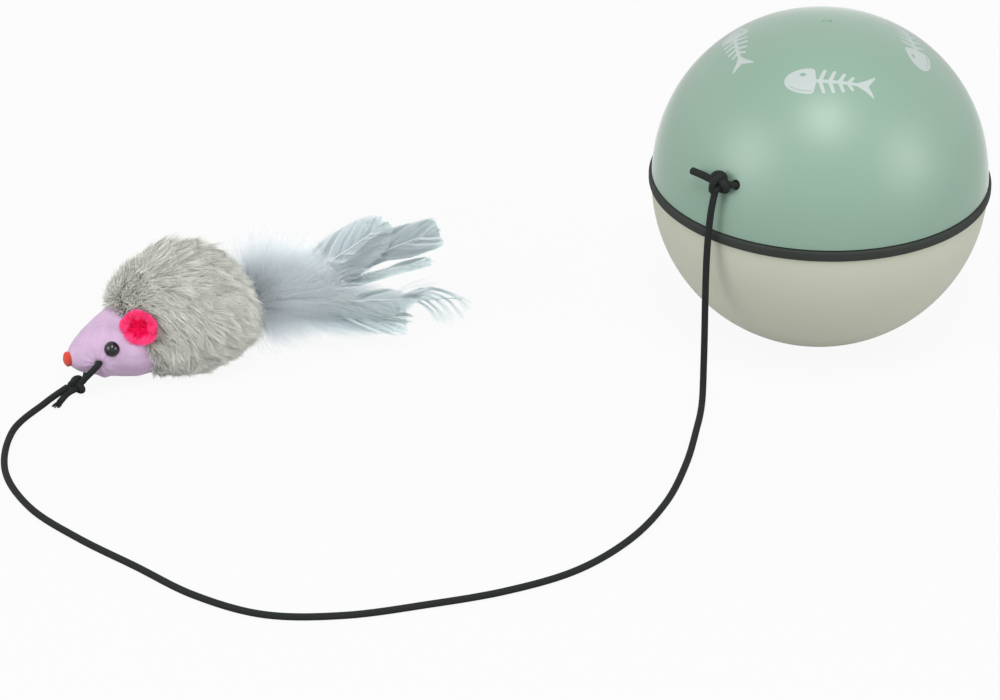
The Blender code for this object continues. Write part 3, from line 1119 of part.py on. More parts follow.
def main():
    for old in list(bpy.data.objects):
        bpy.data.objects.remove(old)
    mint = material("mint_plastic", (0.37, 0.52, 0.43), 0.38)
    grey = material("stone_plastic", (0.50, 0.51, 0.46), 0.38)
    rubber = material("black_rubber", (0.03, 0.03, 0.03), 0.6)
    cord_look = material("black_elastic", (0.02, 0.02, 0.02), 0.8)
    frame_look = material("frame_plastic", (0.75, 0.76, 0.74), 0.45)
    gear_look = material("gear_plastic", (0.85, 0.84, 0.80), 0.4)
    steel = material("steel", (0.6, 0.6, 0.6), 0.3, 1.0)
    bronze = material("bronze", (0.65, 0.45, 0.25), 0.4, 1.0)
    brass = material("nickel_contact", (0.7, 0.68, 0.6), 0.3, 1.0)
    jacket = material("battery_jacket", (0.1, 0.12, 0.14), 0.35)
    dark = material("black_plastic", (0.03, 0.03, 0.03), 0.5)
    looks = {
        "fur": material("grey_fur", (0.52, 0.52, 0.48), 0.95),
        "felt": material("lilac_felt", (0.66, 0.50, 0.70), 0.95),
        "nose": material("red_pompom", (0.75, 0.10, 0.05), 0.9),
        "bead": material("black_bead", (0.01, 0.01, 0.01), 0.1),
        "ear": material("pink_fluff", (0.95, 0.05, 0.18), 0.95),
        "feather": material("blue_grey_feather", (0.50, 0.58, 0.62), 0.8),
    }
    ball = empty("ball_centre", (0, 0, CENTRE_HEIGHT))
    drive = empty("drive_axis", (0, 0, 0), ball)
    make_upper_shell(ball, mint)
    make_lower_shell(ball, grey)
    make_tyre(ball, rubber)
    _, first, second, phases = make_gears(drive, gear_look, steel)
    make_spindle(ball, phases, gear_look, steel)
    make_frame(drive, frame_look, first, second)
    make_cover(drive, frame_look, first, second)
    make_screws(drive, steel)
    make_bearings(ball, drive, bronze, steel)
    make_motor(drive, steel, dark)
    make_battery(drive, jacket, steel, brass)
    make_switch(drive, steel, dark)
    make_anchor(ball, cord_look)
    make_cord(cord_look)
    mouse = make_mouse(looks)
    make_mouse_knot(mouse, cord_look)
    for name, at in (("motor", Vector((MOTOR_X, MOTOR_Y))), ("first gear", first),
                     ("second gear", second)):
        print(f"{name} axis at x {at.x / MM:.4f} mm, y {at.y / MM:.4f} mm")


main()
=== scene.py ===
# %% [markdown]
# # A self rolling cat ball with a plush mouse
#
# The toy is a ball of two moulded half shells with a rubber ring in the seam. A thin elastic cord
# runs from a knot on the upper half across the floor to a small plush mouse with a fur body, a
# felt head and a tail of feathers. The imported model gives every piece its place, and this file
# gives the pieces their looks. We work in metres, and mm turns millimetres into metres.

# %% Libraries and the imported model
import math

import bmesh
import bpy
import numpy as np
from mathutils import Matrix, Vector, geometry, kdtree, noise


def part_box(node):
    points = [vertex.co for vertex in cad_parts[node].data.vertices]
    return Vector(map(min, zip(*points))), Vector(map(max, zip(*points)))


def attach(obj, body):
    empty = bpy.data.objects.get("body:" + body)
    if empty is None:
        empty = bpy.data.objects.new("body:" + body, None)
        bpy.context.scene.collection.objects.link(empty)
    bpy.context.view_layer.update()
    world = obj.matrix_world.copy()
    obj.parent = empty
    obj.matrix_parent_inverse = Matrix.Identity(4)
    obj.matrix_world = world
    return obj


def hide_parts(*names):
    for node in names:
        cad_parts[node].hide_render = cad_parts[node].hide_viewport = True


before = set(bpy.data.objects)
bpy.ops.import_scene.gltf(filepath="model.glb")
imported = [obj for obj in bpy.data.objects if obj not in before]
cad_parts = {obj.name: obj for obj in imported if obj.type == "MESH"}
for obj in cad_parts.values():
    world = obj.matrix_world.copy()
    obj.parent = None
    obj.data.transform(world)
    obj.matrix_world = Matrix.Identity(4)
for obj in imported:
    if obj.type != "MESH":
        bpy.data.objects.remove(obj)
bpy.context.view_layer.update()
mm = 0.001

# %% [markdown]
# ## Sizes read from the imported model
#
# Each shell is half of a sphere, and the rubber ring holds the two halves 1.2 mm apart. So the
# upper dome has its middle a little over the ring's, and the lower dome a little under it.
# Everything that sits on the ball is placed from these middles and one radius. The mouse has its
# own frame: its nose tip is the start, and its back points 27 degrees off the X axis.

# %% The ball and the mouse's frame
tyre_low, tyre_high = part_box("tyre_ring")
centre = Vector((0, 0, (tyre_low.z + tyre_high.z) / 2))
dome_rise = 0.6 * mm
upper_centre = centre + Vector((0, 0, dome_rise))
lower_centre = centre - Vector((0, 0, dome_rise))
upper_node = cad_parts["upper_shell"]
ball_radius = max((upper_node.matrix_world @ vert.co - upper_centre).length
                  for vert in upper_node.data.vertices)
mouse_turn = math.radians(27.0)
mouse_start = Vector((-178.2 * mm, -32.05 * mm, 0))
mouse_frame = Matrix.Translation(mouse_start) @ Matrix.Rotation(mouse_turn, 4, "Z")
mouse_axes = np.array(mouse_frame.to_3x3())
print(f"ball radius {ball_radius / mm:.2f} mm, ring {centre.z / mm:.2f} mm above the floor")

# %% [markdown]
# ## The camera
#
# The photograph was taken with a long lens from above: parallel edges hardly converge. The
# camera looks down almost 30 degrees, and the lens is about 130 mm on a full frame sensor.

# %% Camera
camera_data = bpy.data.cameras.new("camera")
camera_data.lens = 129.6
camera_data.sensor_width = 36.0
camera_data.clip_start = 0.01
camera = bpy.data.objects.new("camera", camera_data)
bpy.context.scene.collection.objects.link(camera)
camera.location = (-76.14 * mm, -765.62 * mm, 429.42 * mm)
camera.rotation_euler = (math.radians(60.2756), 0, 0)
bpy.context.scene.camera = camera
print("camera", tuple(round(value, 4) for value in camera.location))

# %% [markdown]
# ## Small tools for meshes
#
# These helpers make most of the object. `dress` turns a mesh into an object that rides on a body
# of the model, and `add_piece` builds that mesh from points and faces. `ring_faces` joins rings
# of points to a closed skin. `curve` draws a smooth line through a few points, the same way as
# the CAD model does, and `tube_mesh` sweeps a ring along such a line. `facing` gives the
# direction of two angles, for what sits on the ball and for the lamps.


# %% Helpers that make pieces
def dress(name, mesh, look, body, sharp):
    """An object of a mesh that rides on a body; edges under the sharp angle look smooth."""
    mesh.materials.clear()
    mesh.materials.append(look)
    mesh.shade_smooth()
    mesh.set_sharp_from_angle(angle=math.radians(sharp))
    piece = bpy.data.objects.new(name, mesh)
    bpy.context.scene.collection.objects.link(piece)
    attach(piece, body)
    return piece


def add_piece(name, points, faces, look, body, sharp=30.0):
    """An object of points and faces that rides on a body."""
    mesh = bpy.data.meshes.new(name)
    mesh.from_pydata([tuple(point) for point in points], [], faces)
    return dress(name, mesh, look, body, sharp)


def ring_faces(rings, around, flip=False):
    """Faces between rings of points, and one over each end; flip turns them to the other side."""
    faces = []
    for low in range(0, (rings - 1) * around, around):
        for step in range(around):
            after = (step + 1) % around
            faces.append((low + step, low + after, low + around + after, low + around + step))
    last = (rings - 1) * around
    faces += [tuple(reversed(range(around))), tuple(range(last, last + around))]
    if flip:
        faces = ([(a, d, c, b) for a, b, c, d in faces[:-2]]
                 + [tuple(reversed(face)) for face in faces[-2:]])
    return faces


def curve(route, spacing, fineness=24):
    """Points at an even spacing on a smooth curve through the route, and its length."""
    ends = [route[0] * 2 - route[1]] + list(route) + [route[-1] * 2 - route[-2]]
    fine = []
    for a, b, c, d in zip(ends, ends[1:], ends[2:], ends[3:]):
        for step in range(fineness):
            t = step / fineness
            fine.append(((b * 2) + (c - a) * t + (a * 2 - b * 5 + c * 4 - d) * t ** 2
                         + (b * 3 - a - c * 3 + d) * t ** 3) / 2)
    fine.append(route[-1].copy())
    lengths = [0.0]
    for before, after in zip(fine, fine[1:]):
        lengths.append(lengths[-1] + (after - before).length)
    count = max(3, round(lengths[-1] / spacing))
    points = []
    for number in range(count + 1):
        wanted = lengths[-1] * number / count
        index = min(int(np.searchsorted(lengths, wanted, side="right")) - 1, len(fine) - 2)
        share = (wanted - lengths[index]) / (lengths[index + 1] - lengths[index])
        points.append(fine[index].lerp(fine[index + 1], share))
    return points, lengths[-1]


def tube_mesh(path, radii, around):
    """Points and faces of a closed tube along a path; its rings turn as little as they can."""
    ways = [(after - before).normalized() for before, after in zip(path, path[1:])]
    ways.append(ways[-1])
    side = ways[0].orthogonal().normalized()
    points = []
    for point, radius, way in zip(path, radii, ways):
        side = (side - way * side.dot(way)).normalized()
        up = way.cross(side)
        for index in range(around):
            angle = math.tau * index / around
            points.append(point + (side * math.cos(angle) + up * math.sin(angle)) * radius)
    return points, ring_faces(len(path), around)


def facing(azimuth, latitude):
    """The direction that two angles give; azimuth 0 looks at the viewer on the -Y side."""
    return Vector((math.sin(azimuth) * math.cos(latitude),
                   -math.cos(azimuth) * math.cos(latitude), math.sin(latitude)))


# %% [markdown]
# ## Shader groups that several finishes share
#
# A node group is built once and used in many materials. `surface_grain` gives a fine height and
# a slow change of tone, which every moulded, metal or felt face has. `braid` draws the strands
# of the elastic's cover from the tube's UV map. A group gives only values, and the Principled
# shader stays in each material.


# %% Helpers for node groups and materials
def new_group(name, inputs, outputs):
    """An empty shader group with named float inputs and outputs."""
    group = bpy.data.node_groups.new(name, "ShaderNodeTree")
    for label, value in inputs:
        socket = group.interface.new_socket(label, in_out="INPUT", socket_type="NodeSocketFloat")
        socket.default_value = value
    for label in outputs:
        group.interface.new_socket(label, in_out="OUTPUT", socket_type="NodeSocketFloat")
    return group, group.nodes.new("NodeGroupInput"), group.nodes.new("NodeGroupOutput")


def math_node(tree, operation, *values, clamp=False):
    """A math node whose inputs are sockets or numbers."""
    node = tree.nodes.new("ShaderNodeMath")
    node.operation = operation
    node.use_clamp = clamp
    for slot, value in enumerate(values):
        if isinstance(value, (int, float)):
            node.inputs[slot].default_value = value
        else:
            tree.links.new(value, node.inputs[slot])
    return node.outputs[0]


def use_group(tree, group, **values):
    """The outputs of a group that is placed in a material, with its own values."""
    node = tree.nodes.new("ShaderNodeGroup")
    node.node_tree = group
    for label, value in values.items():
        node.inputs[label.replace("_", " ")].default_value = value
    return node.outputs


def principled(name, values):
    """A new material with values on its Principled shader, its node tree and that shader."""
    look = bpy.data.materials.new(name)
    look.use_nodes = True
    shader = look.node_tree.nodes["Principled BSDF"]
    for label, value in values.items():
        shader.inputs[label].default_value = value
    return look, look.node_tree, shader


def mixed(tree, factor, first, second):
    """A colour between two colours, by a factor that changes over the surface."""
    mix = tree.nodes.new("ShaderNodeMix")
    mix.data_type = "RGBA"
    mix.inputs["A"].default_value = (*first, 1)
    mix.inputs["B"].default_value = (*second, 1)
    tree.links.new(factor, mix.inputs["Factor"])
    return mix.outputs["Result"]


def bumped(tree, shader, height, strength, depth):
    """A bump on the shader's normal; depth is in millimetres."""
    bump = tree.nodes.new("ShaderNodeBump")
    bump.inputs["Strength"].default_value = strength
    bump.inputs["Distance"].default_value = depth * mm
    tree.links.new(height, bump.inputs["Height"])
    tree.links.new(bump.outputs["Normal"], shader.inputs["Normal"])


# %% Group: surface grain
def build_grain():
    """Fine grain and slow patches, from the place on the object."""
    group, entry, leave = new_group(
        "surface_grain", [("Grain Scale", 4000.0), ("Patch Scale", 60.0)], ["Grain", "Patch"])
    place = group.nodes.new("ShaderNodeTexCoord")
    for out, detail in (("Grain", 3.0), ("Patch", 2.0)):
        texture = group.nodes.new("ShaderNodeTexNoise")
        texture.inputs["Detail"].default_value = detail
        group.links.new(place.outputs["Object"], texture.inputs["Vector"])
        group.links.new(entry.outputs[out + " Scale"], texture.inputs["Scale"])
        group.links.new(texture.outputs["Fac"], leave.inputs[out])
    return group


# %% Group: braid
def build_braid():
    """Two sets of strands that cross over each other round a cord."""
    group, entry, leave = new_group(
        "braid", [("Strands", 8.0), ("Pitch", 1.6)], ["Height", "Shade"])
    lay = group.nodes.new("ShaderNodeUVMap")
    lay.uv_map = "lay"
    parts = group.nodes.new("ShaderNodeSeparateXYZ")
    group.links.new(lay.outputs["UV"], parts.inputs[0])
    turn = math_node(group, "MULTIPLY", parts.outputs["X"], entry.outputs["Strands"])
    along = math_node(group, "MULTIPLY", parts.outputs["Y"], entry.outputs["Pitch"])
    strands = []
    for operation in ("ADD", "SUBTRACT"):
        crossing = math_node(group, operation, turn, along)
        wave = math_node(group, "SINE", math_node(group, "MULTIPLY", crossing, math.pi))
        strands.append(math_node(group, "ABSOLUTE", wave))
    over = math_node(group, "SINE", math_node(group, "MULTIPLY", along, math.tau))
    first = math_node(group, "MULTIPLY", strands[0],
                      math_node(group, "MULTIPLY_ADD", over, 0.25, 0.75))
    height = math_node(group, "MAXIMUM", first, strands[1])
    group.links.new(height, leave.inputs["Height"])
    group.links.new(math_node(group, "POWER", height, 0.6), leave.inputs["Shade"])
    return group


grain_group = build_grain()
braid_group = build_braid()
print("groups:", [group.name for group in bpy.data.node_groups])

# %% [markdown]
# ## Plastic, rubber and elastic
#
# Both shells are satin plastic: the gloss is soft, because a fine moulded grain scatters it.
# The grain is far smaller than a pixel here, so most of it is roughness and only a little is
# bump. Colours are written as linear values, a little deeper than they look, since the soft
# gloss lies over them.


# %% Helper: a Principled material with grain
def grainy(tree, shader, roughness, grain, grain_scale=4000.0):
    """Vary the roughness with the surface grain, and give back the grain's outputs."""
    surface = use_group(tree, grain_group, Grain_Scale=grain_scale)
    rough = math_node(tree, "MULTIPLY_ADD", surface["Grain"], grain, roughness - grain / 2,
                      clamp=True)
    tree.links.new(rough, shader.inputs["Roughness"])
    return surface


def grained(name, colour, roughness, grain=0.15, patch=0.08, metallic=0.0, depth=0.02,
            grain_scale=4000.0, gloss=0.5, sheen=0.0):
    """A Principled material whose roughness and colour vary a little over the surface."""
    look, tree, shader = principled(name, {
        "Metallic": metallic, "Specular IOR Level": gloss, "Sheen Weight": sheen,
        "Sheen Roughness": 0.3})
    surface = grainy(tree, shader, roughness, grain, grain_scale)
    base = mixed(tree, surface["Patch"], [value * (1 - patch) for value in colour],
                 [min(1.0, value * (1 + patch)) for value in colour])
    tree.links.new(base, shader.inputs["Base Color"])
    bumped(tree, shader, surface["Grain"], 0.3, depth)
    return look


# %% Shell, print and rubber materials
mint_plastic = grained("mint_plastic", (0.230, 0.362, 0.280), 0.40, patch=0.03, gloss=0.75,
                       sheen=1.0)
stone_plastic = grained("stone_plastic", (0.545, 0.565, 0.455), 0.44, patch=0.03, gloss=0.55,
                        sheen=0.2)
white_print = grained("white_print", (0.48, 0.545, 0.53), 0.5, patch=0.05, grain_scale=9000.0)
tyre_rubber = grained("tyre_rubber", (0.027, 0.032, 0.028), 0.7, grain=0.2, patch=0.25,
                      grain_scale=7000.0, gloss=0.3)
print("shell materials made")

# %% Elastic cord material
elastic, elastic_tree, elastic_shader = principled("black_elastic", {"Specular IOR Level": 0.2})
grainy(elastic_tree, elastic_shader, roughness=0.8, grain=0.15)
braid = use_group(elastic_tree, braid_group)
elastic_base = mixed(elastic_tree, braid["Shade"], (0.002, 0.003, 0.003), (0.018, 0.022, 0.020))
elastic_tree.links.new(elastic_base, elastic_shader.inputs["Base Color"])
bumped(elastic_tree, elastic_shader, braid["Height"], 0.8, 0.12)

# %% [markdown]
# ## The cord
#
# The cord is elastic, 1.6 mm thick, with a woven cover. It leaves the knot on the ball, hangs
# down to the floor and lies in one wide loop to the mouse's chin. The route repeats the points
# of the CAD model, in metres, and the photograph shows it from end to end.

# %% The cord's route, in metres
cord_radius = 0.8 * mm
cord_route = [Vector(point) * mm for point in (
    (-26.85, -31.05, 51.87), (-27.7, -31.8, 46.82), (-28.2, -32.2, 40.2), (-28.4, -32.4, 33.45),
    (-28.4, -32.6, 24.5), (-28.3, -32.7, 14.3), (-28.3, -33.1, 6.65), (-28.4, -34.6, 2.2),
    (-28.7, -38.15, 0.85), (-29.3, -43.45, 0.8), (-30.4, -50.15, 0.8), (-33.7, -66.75, 0.8),
    (-39.0, -83.55, 0.8), (-47.5, -98.85, 0.8), (-59.6, -111.35, 0.8), (-74.8, -119.35, 0.8),
    (-91.8, -124.65, 0.8), (-109.3, -128.75, 0.8), (-126.3, -128.45, 0.8), (-141.7, -121.05, 0.8),
    (-155.4, -109.65, 0.8), (-169.1, -98.25, 0.8), (-181.0, -85.75, 0.8), (-188.4, -70.05, 0.8),
    (-188.7, -52.65, 0.8), (-182.6, -40.05, 0.9), (-177.9, -34.85, 2.1))]
cord_path, cord_length = curve(cord_route, 1.2 * mm)
print(f"cord {cord_length / mm:.1f} mm long, {len(cord_path)} rings")


# %% A piece of the elastic, and the cord itself
def cord_piece(name, node, tubes, around=14):
    """Tubes of elastic as one piece; their UV map counts turns, and millimetres along."""
    points, faces, uvs = [], [], []
    for path, radius in tubes:
        some_points, some_faces = tube_mesh(path, [radius] * len(path), around)
        lengths = np.cumsum([0.0] + [(b - a).length for a, b in zip(path, path[1:])])
        for face in some_faces:
            ring = [index % around for index in face]
            wraps = max(ring) - min(ring) > around / 2
            for vertex, turn in zip(face, ring):
                if wraps and turn == 0:
                    turn = around
                uvs.append((turn / around, lengths[vertex // around] / mm))
        faces += [tuple(index + len(points) for index in face) for face in some_faces]
        points += some_points
    piece = add_piece(name, points, faces, elastic, "ball", sharp=60)
    layer = piece.data.uv_layers.new(name="lay")
    layer.data.foreach_set("uv", np.array(uvs, np.float32).ravel())
    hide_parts(node)
    print(f"{name}: {len(faces)} faces")
    return piece


cord = cord_piece("elastic_cord", "cord", [(cord_path, cord_radius)])

# %% [markdown]
# ## The knots
#
# Each knot is a tight overhand knot. Its line is a trefoil: a curve that winds twice round its
# middle while it dips three times through it. A tube along that line, nearly as thick as the
# knot is deep, gives the crossing strands that a knot shows. At the ball a strand also runs down
# over the front of the knot into the cord. The same elastic passes through two holes of the
# shell, and its places there are given by their distances from the middle between the holes.

# %% The line of a knot, and places beside the anchor on the ball
anchor_latitude = math.radians(18.9)
anchor_azimuth = math.radians(-40.5)


def trefoil(size, depth, turn, steps=72):
    """The line of a tight knot, closed, in its own plane."""
    line = []
    for step in range(steps + 1):
        t = math.tau * step / steps
        point = Vector(((math.sin(t) + 2 * math.sin(2 * t)) * size / 3,
                        (math.cos(t) - 2 * math.cos(2 * t)) * size / 3,
                        -math.sin(3 * t) * depth))
        line.append(Matrix.Rotation(turn, 3, "Z") @ point)
    return line


def beside_anchor(shift, climb=0.0, height=0.0):
    """A point by its millimetres to the right, up the dome and over it, from the anchor."""
    latitude = anchor_latitude + climb * mm / ball_radius
    azimuth = anchor_azimuth + shift * mm / (ball_radius * math.cos(latitude))
    return upper_centre + facing(azimuth, latitude) * (ball_radius + height * mm)


anchor_out = (beside_anchor(0) - upper_centre).normalized()
anchor_side = (beside_anchor(1) - beside_anchor(-1)).normalized()
anchor_frame = Matrix((anchor_side, anchor_out.cross(anchor_side), anchor_out)).transposed()

# %% The knot on the ball, its tail and the loop that goes through both holes
knot_middle = beside_anchor(0, -0.5, 2.1)
knot_line = [knot_middle + anchor_frame @ point
             for point in trefoil(2.2 * mm, 0.75 * mm, math.radians(200))]
front_line, _ = curve([beside_anchor(0.6, 1.5, 2.6), beside_anchor(0.1, 0.5, 3.9),
                       beside_anchor(-0.5, -1.2, 3.8),
                       cord_path[0] + Vector((0, 0, 0.1 * mm))], 0.4 * mm)
tail_path, _ = curve([beside_anchor(-1.6, -0.2, 2.4), beside_anchor(-4.5, 0, 2.6),
                      beside_anchor(-7.7, -0.2, 2.5)], 0.5 * mm)
loop_path, _ = curve([beside_anchor(shift, 0, height) for shift, height in (
    (-1.65, 1.5), (-3, 0.6), (-3, -1.4), (0, -3.6), (3, -1.4), (3, 0.6), (1.65, 1.6))], 0.4 * mm)
thin = 0.95 * cord_radius
ball_knot = cord_piece("ball_knot", "cord_knot", [(knot_line, 1.15 * cord_radius),
                                                  (front_line, cord_radius)])
ball_tail = cord_piece("ball_tail", "cord_tail", [(tail_path, 1.1 * cord_radius)])
shell_loop = cord_piece("shell_loop", "anchor_loop", [(loop_path, thin)])

# %% The knot at the mouse, with its frayed end and the strands round the snout
chin_middle = mouse_frame @ Vector((1.0 * mm, -3.6 * mm, 2.6 * mm))
chin_frame = (Matrix.Rotation(mouse_turn, 3, "Z") @ Matrix.Rotation(math.radians(70), 3, "X")
              @ Matrix.Rotation(math.radians(-35), 3, "Y"))
chin_line = [chin_middle + chin_frame @ point
             for point in trefoil(1.75 * mm, 0.65 * mm, math.radians(40))]
mouse_knot = cord_piece("mouse_knot_piece", "mouse_knot", [(chin_line, thin)])
free_path, _ = curve([chin_middle + Vector((-0.5, -1.0, -0.6)) * mm,
                      Vector((-177.9, -36.4, 1.1)) * mm, Vector((-179.3, -40.0, 0.9)) * mm],
                     0.4 * mm)
free_tubes = [(free_path, thin)]
free_tip = free_path[-1]
way_out = (free_tip - free_path[-3]).normalized()
way_side = way_out.cross(Vector((0, 0, 1))).normalized()
fray_count, fray_radius = 9, 0.16 * mm
for number in range(fray_count):
    spread = (number - 4) / 4
    tip = free_tip + way_out * (1.3 + 0.35 * (number % 3)) * mm + way_side * spread * 0.9 * mm
    tip.z = max(0.25 * mm, tip.z - 0.25 * mm * (number % 2))
    root = free_tip - way_out * 0.4 * mm + way_side * spread * 0.45 * mm
    fibre, _ = curve([root, (root + tip) / 2 + way_side * spread * 0.15 * mm, tip], 0.3 * mm)
    free_tubes.append((fibre, fray_radius))
mouse_free_end = cord_piece("mouse_free_end", "mouse_tail", free_tubes, around=8)

# %% Two strands from the knot into the cheeks
cheek_ways = {"near": ((1.6, -4.3, 3.3), (3.0, -5.1, 5.0), (4.8, -5.9, 7.1), (6.1, -5.7, 8.1),
                       (6.9, -4.2, 8.4)),
              "far": ((1.9, -3.4, 2.6), (3.6, -1.8, 2.5), (5.4, 1.4, 2.3), (6.8, 4.4, 4.2),
                      (7.0, 6.0, 6.4), (6.5, 6.2, 7.9), (6.9, 4.4, 8.4))}
for side, way in cheek_ways.items():
    strand_path, _ = curve([mouse_frame @ (Vector(point) * mm) for point in way], 0.4 * mm)
    cord_piece(f"cheek_strand_{side}", f"snout_strand_{side}",
                                    [(strand_path, thin)])

# %% [markdown]
# ## The two half shells
#
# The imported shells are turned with 44 sides, which shows as a faint polygon in the outline. A new
# revolve would lose the holes and the catches of the model. So each shell's own mesh is copied,
# only its outer faces are cut finer, and the new points are pushed out to the true sphere. Each
# corner there also gets the sphere's own normal, because the faces are of uneven sizes, and
# normals averaged from them would show as bands in the soft gloss.


# %% Helper: a shell with a finer skin
def outer_faces(mesh, middle):
    """The faces that look outward and lie close to the dome."""
    return [face for face in mesh.faces
            if face.normal.dot((face.calc_center_median() - middle).normalized()) > 0.97
            and all((vert.co - middle).length > ball_radius - 0.25 * mm for vert in face.verts)]


def finer_shell(name, node, look, body, middle, cuts=4):
    """A copy of a shell node whose outer faces lie on the true dome, with its normals."""
    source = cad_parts[node]
    mesh = bmesh.new()
    mesh.from_mesh(source.data)
    mesh.transform(source.matrix_world)
    bmesh.ops.remove_doubles(mesh, verts=mesh.verts, dist=0.001 * mm)
    mesh.normal_update()
    outer = outer_faces(mesh, middle)
    edges = list({edge for face in outer for edge in face.edges})
    count = len(outer)
    bmesh.ops.subdivide_edges(mesh, edges=edges, cuts=cuts, use_grid_fill=True)
    mesh.normal_update()
    for vert in {vert for face in outer_faces(mesh, middle) for vert in face.verts}:
        vert.co = middle + (vert.co - middle).normalized() * ball_radius
    result = bpy.data.meshes.new(name)
    mesh.to_mesh(result)
    mesh.free()
    piece = dress(name, result, look, body, sharp=28)
    normals = [Vector((0, 0, 0))] * len(result.loops)
    for face in result.polygons:
        ways = [result.vertices[index].co - middle for index in face.vertices]
        if (all(abs(way.length - ball_radius) < 0.01 * mm for way in ways)
                and face.normal.dot(ways[0].normalized()) > 0.8):
            for loop, way in zip(face.loop_indices, ways):
                normals[loop] = way.normalized()
    result.normals_split_custom_set(normals)
    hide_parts(node)
    print(f"{name}: {count} outer faces, {len(result.polygons)} faces in all")
    return piece


# %% Upper and lower shell
upper_skin = finer_shell("upper_shell_skin", "upper_shell", mint_plastic, "ball", upper_centre)
lower_skin = finer_shell("lower_shell_skin", "lower_shell", stone_plastic, "lower_shell",
                         lower_centre)

# %% [markdown]
# ## The rubber ring
#
# The ring in the seam is a soft rubber band that stands a little proud of the shells, so that
# the ball grips the floor and runs quietly. A lathe profile with a crowned outer face, turned
# round the Z axis, gives its soft edge.


# %% Helper: turn a profile round an axis
def turned(name, profile, steps, look, middle, sharp=35.0, axes=np.eye(3)):
    """A closed profile of (radius, height) points turned round the third of the axes."""
    middle = np.array(middle)
    points, faces = [], []
    rows = len(profile)
    for step in range(steps):
        angle = math.tau * step / steps
        way = axes[0] * math.cos(angle) + axes[1] * math.sin(angle)
        points += [middle + way * radius + axes[2] * height for radius, height in profile]
        after = (step + 1) % steps
        for row in range(rows):
            above = (row + 1) % rows
            faces.append((step * rows + row, after * rows + row, after * rows + above,
                          step * rows + above))
    return add_piece(name, points, faces, look, "ball", sharp)


# %% The ring in the seam
tyre_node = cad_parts["tyre_ring"]
tyre_inner = min(math.hypot(*(tyre_node.matrix_world @ vert.co).xy)
                 for vert in tyre_node.data.vertices)
tyre_outer = (tyre_high.x - tyre_low.x) / 2
tyre_half = (tyre_high.z - tyre_low.z) / 2
tyre_crown = 0.35 * mm
crown = [(tyre_outer - tyre_crown * abs(math.sin(turn)) ** 5, tyre_half * math.sin(turn))
         for turn in np.linspace(-math.pi / 2, math.pi / 2, 15)]
tyre_profile = [(tyre_inner, tyre_half), (tyre_inner, -tyre_half)] + crown
tyre = turned("rubber_ring", tyre_profile, 224, tyre_rubber, centre)
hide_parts("tyre_ring")
print(f"ring from radius {tyre_inner / mm:.2f} to {tyre_outer / mm:.2f} mm")

# %% [markdown]
# ## The fishbone prints
#
# Four fishbones are pad printed round the top of the ball: a head with an eye, a spine, four
# pairs of ribs and a forked tail. It is a common ornament, drawn here anew. The outline is laid
# flat in millimetres, cut into small triangles and wrapped on the sphere as a film of ink.


# %% The outline of one fishbone, head to the left, in millimetres
def fishbone_outline():
    """The closed outline of a fishbone, its eye and the line of its mouth."""
    spine = 0.44
    ribs = [(-2.6, 3.15), (-0.35, 2.9), (1.9, 2.45), (4.0, 1.8)]
    head = [(-3.1, spine), (-3.55, 3.0), (-3.95, 3.4)]
    for turn in np.linspace(88, 180, 14):
        angle = math.radians(turn)
        head.append((-4.7 + 6.0 * math.cos(angle), 3.55 * math.sin(angle)))
    upper = []
    for place, reach in ribs:
        upper += [(place, spine), (place + 0.95, reach - 0.1), (place + 1.15, reach + 0.12),
                  (place + 1.6, reach + 0.1), (place + 1.75, reach - 0.2), (place + 1.0, spine)]
    tail = [(6.3, spine * 0.9), (8.2, 1.35), (10.5, 2.95), (10.85, 2.75), (9.15, 0.0)]
    top = list(reversed(head)) + upper + tail
    low = [(x, -y) for x, y in reversed(top[1:-1])]
    eye = [(-6.3 + 0.76 * math.cos(angle), 1.75 + 0.5 * math.sin(angle))
           for angle in np.linspace(0, math.tau, 14, endpoint=False)]
    mouth = [(-9.3, -1.5), (-7.6, -2.45), (-5.6, -2.8), (-4.0, -2.8)]
    mouth += [(x, y + 0.17) for x, y in reversed(mouth)]
    return [[Vector((x, y, 0)) for x, y in line] for line in (top + low, eye, mouth)]


# %% Wrap a fishbone on the ball
def fishbone(name, colatitude, azimuth, heading, ink=0.04 * mm, sunk=0.02 * mm, longest=0.8):
    """One print, by angles in radians; heading turns the line from head to tail off the X axis."""
    lines = fishbone_outline()
    mesh = bmesh.new()
    verts = [mesh.verts.new(point) for line in lines for point in line]
    for corners in geometry.tessellate_polygon(lines):
        mesh.faces.new([verts[index] for index in corners])
    for _ in range(4):
        long = [edge for edge in mesh.edges if edge.calc_length() > longest]
        if long:
            bmesh.ops.subdivide_edges(mesh, edges=long, cuts=1)
            bmesh.ops.triangulate(mesh, faces=mesh.faces)
    out = facing(azimuth, math.pi / 2 - colatitude)
    along = Vector((math.cos(heading), math.sin(heading), 0))
    along = (along - out * along.dot(out)).normalized()
    beside = out.cross(along)
    for vert in mesh.verts:
        place = out * ball_radius + (along * vert.co.x + beside * vert.co.y) * mm
        vert.co = upper_centre + place.normalized() * (ball_radius + ink)
    mesh.normal_update()
    if sum(face.normal.dot(out) for face in mesh.faces) < 0:
        bmesh.ops.reverse_faces(mesh, faces=mesh.faces)
    rim = [edge for edge in mesh.edges if edge.is_boundary]
    for vert in bmesh.ops.extrude_edge_only(mesh, edges=rim)["geom"]:
        if isinstance(vert, bmesh.types.BMVert):
            vert.co = upper_centre + (vert.co - upper_centre).normalized() * (ball_radius - sunk)
    bmesh.ops.recalc_face_normals(mesh, faces=mesh.faces)
    result = bpy.data.meshes.new(name)
    mesh.to_mesh(result)
    mesh.free()
    result.validate()  # drops faces that the cutting left doubled
    piece = dress(name, result, white_print, "ball", sharp=40)


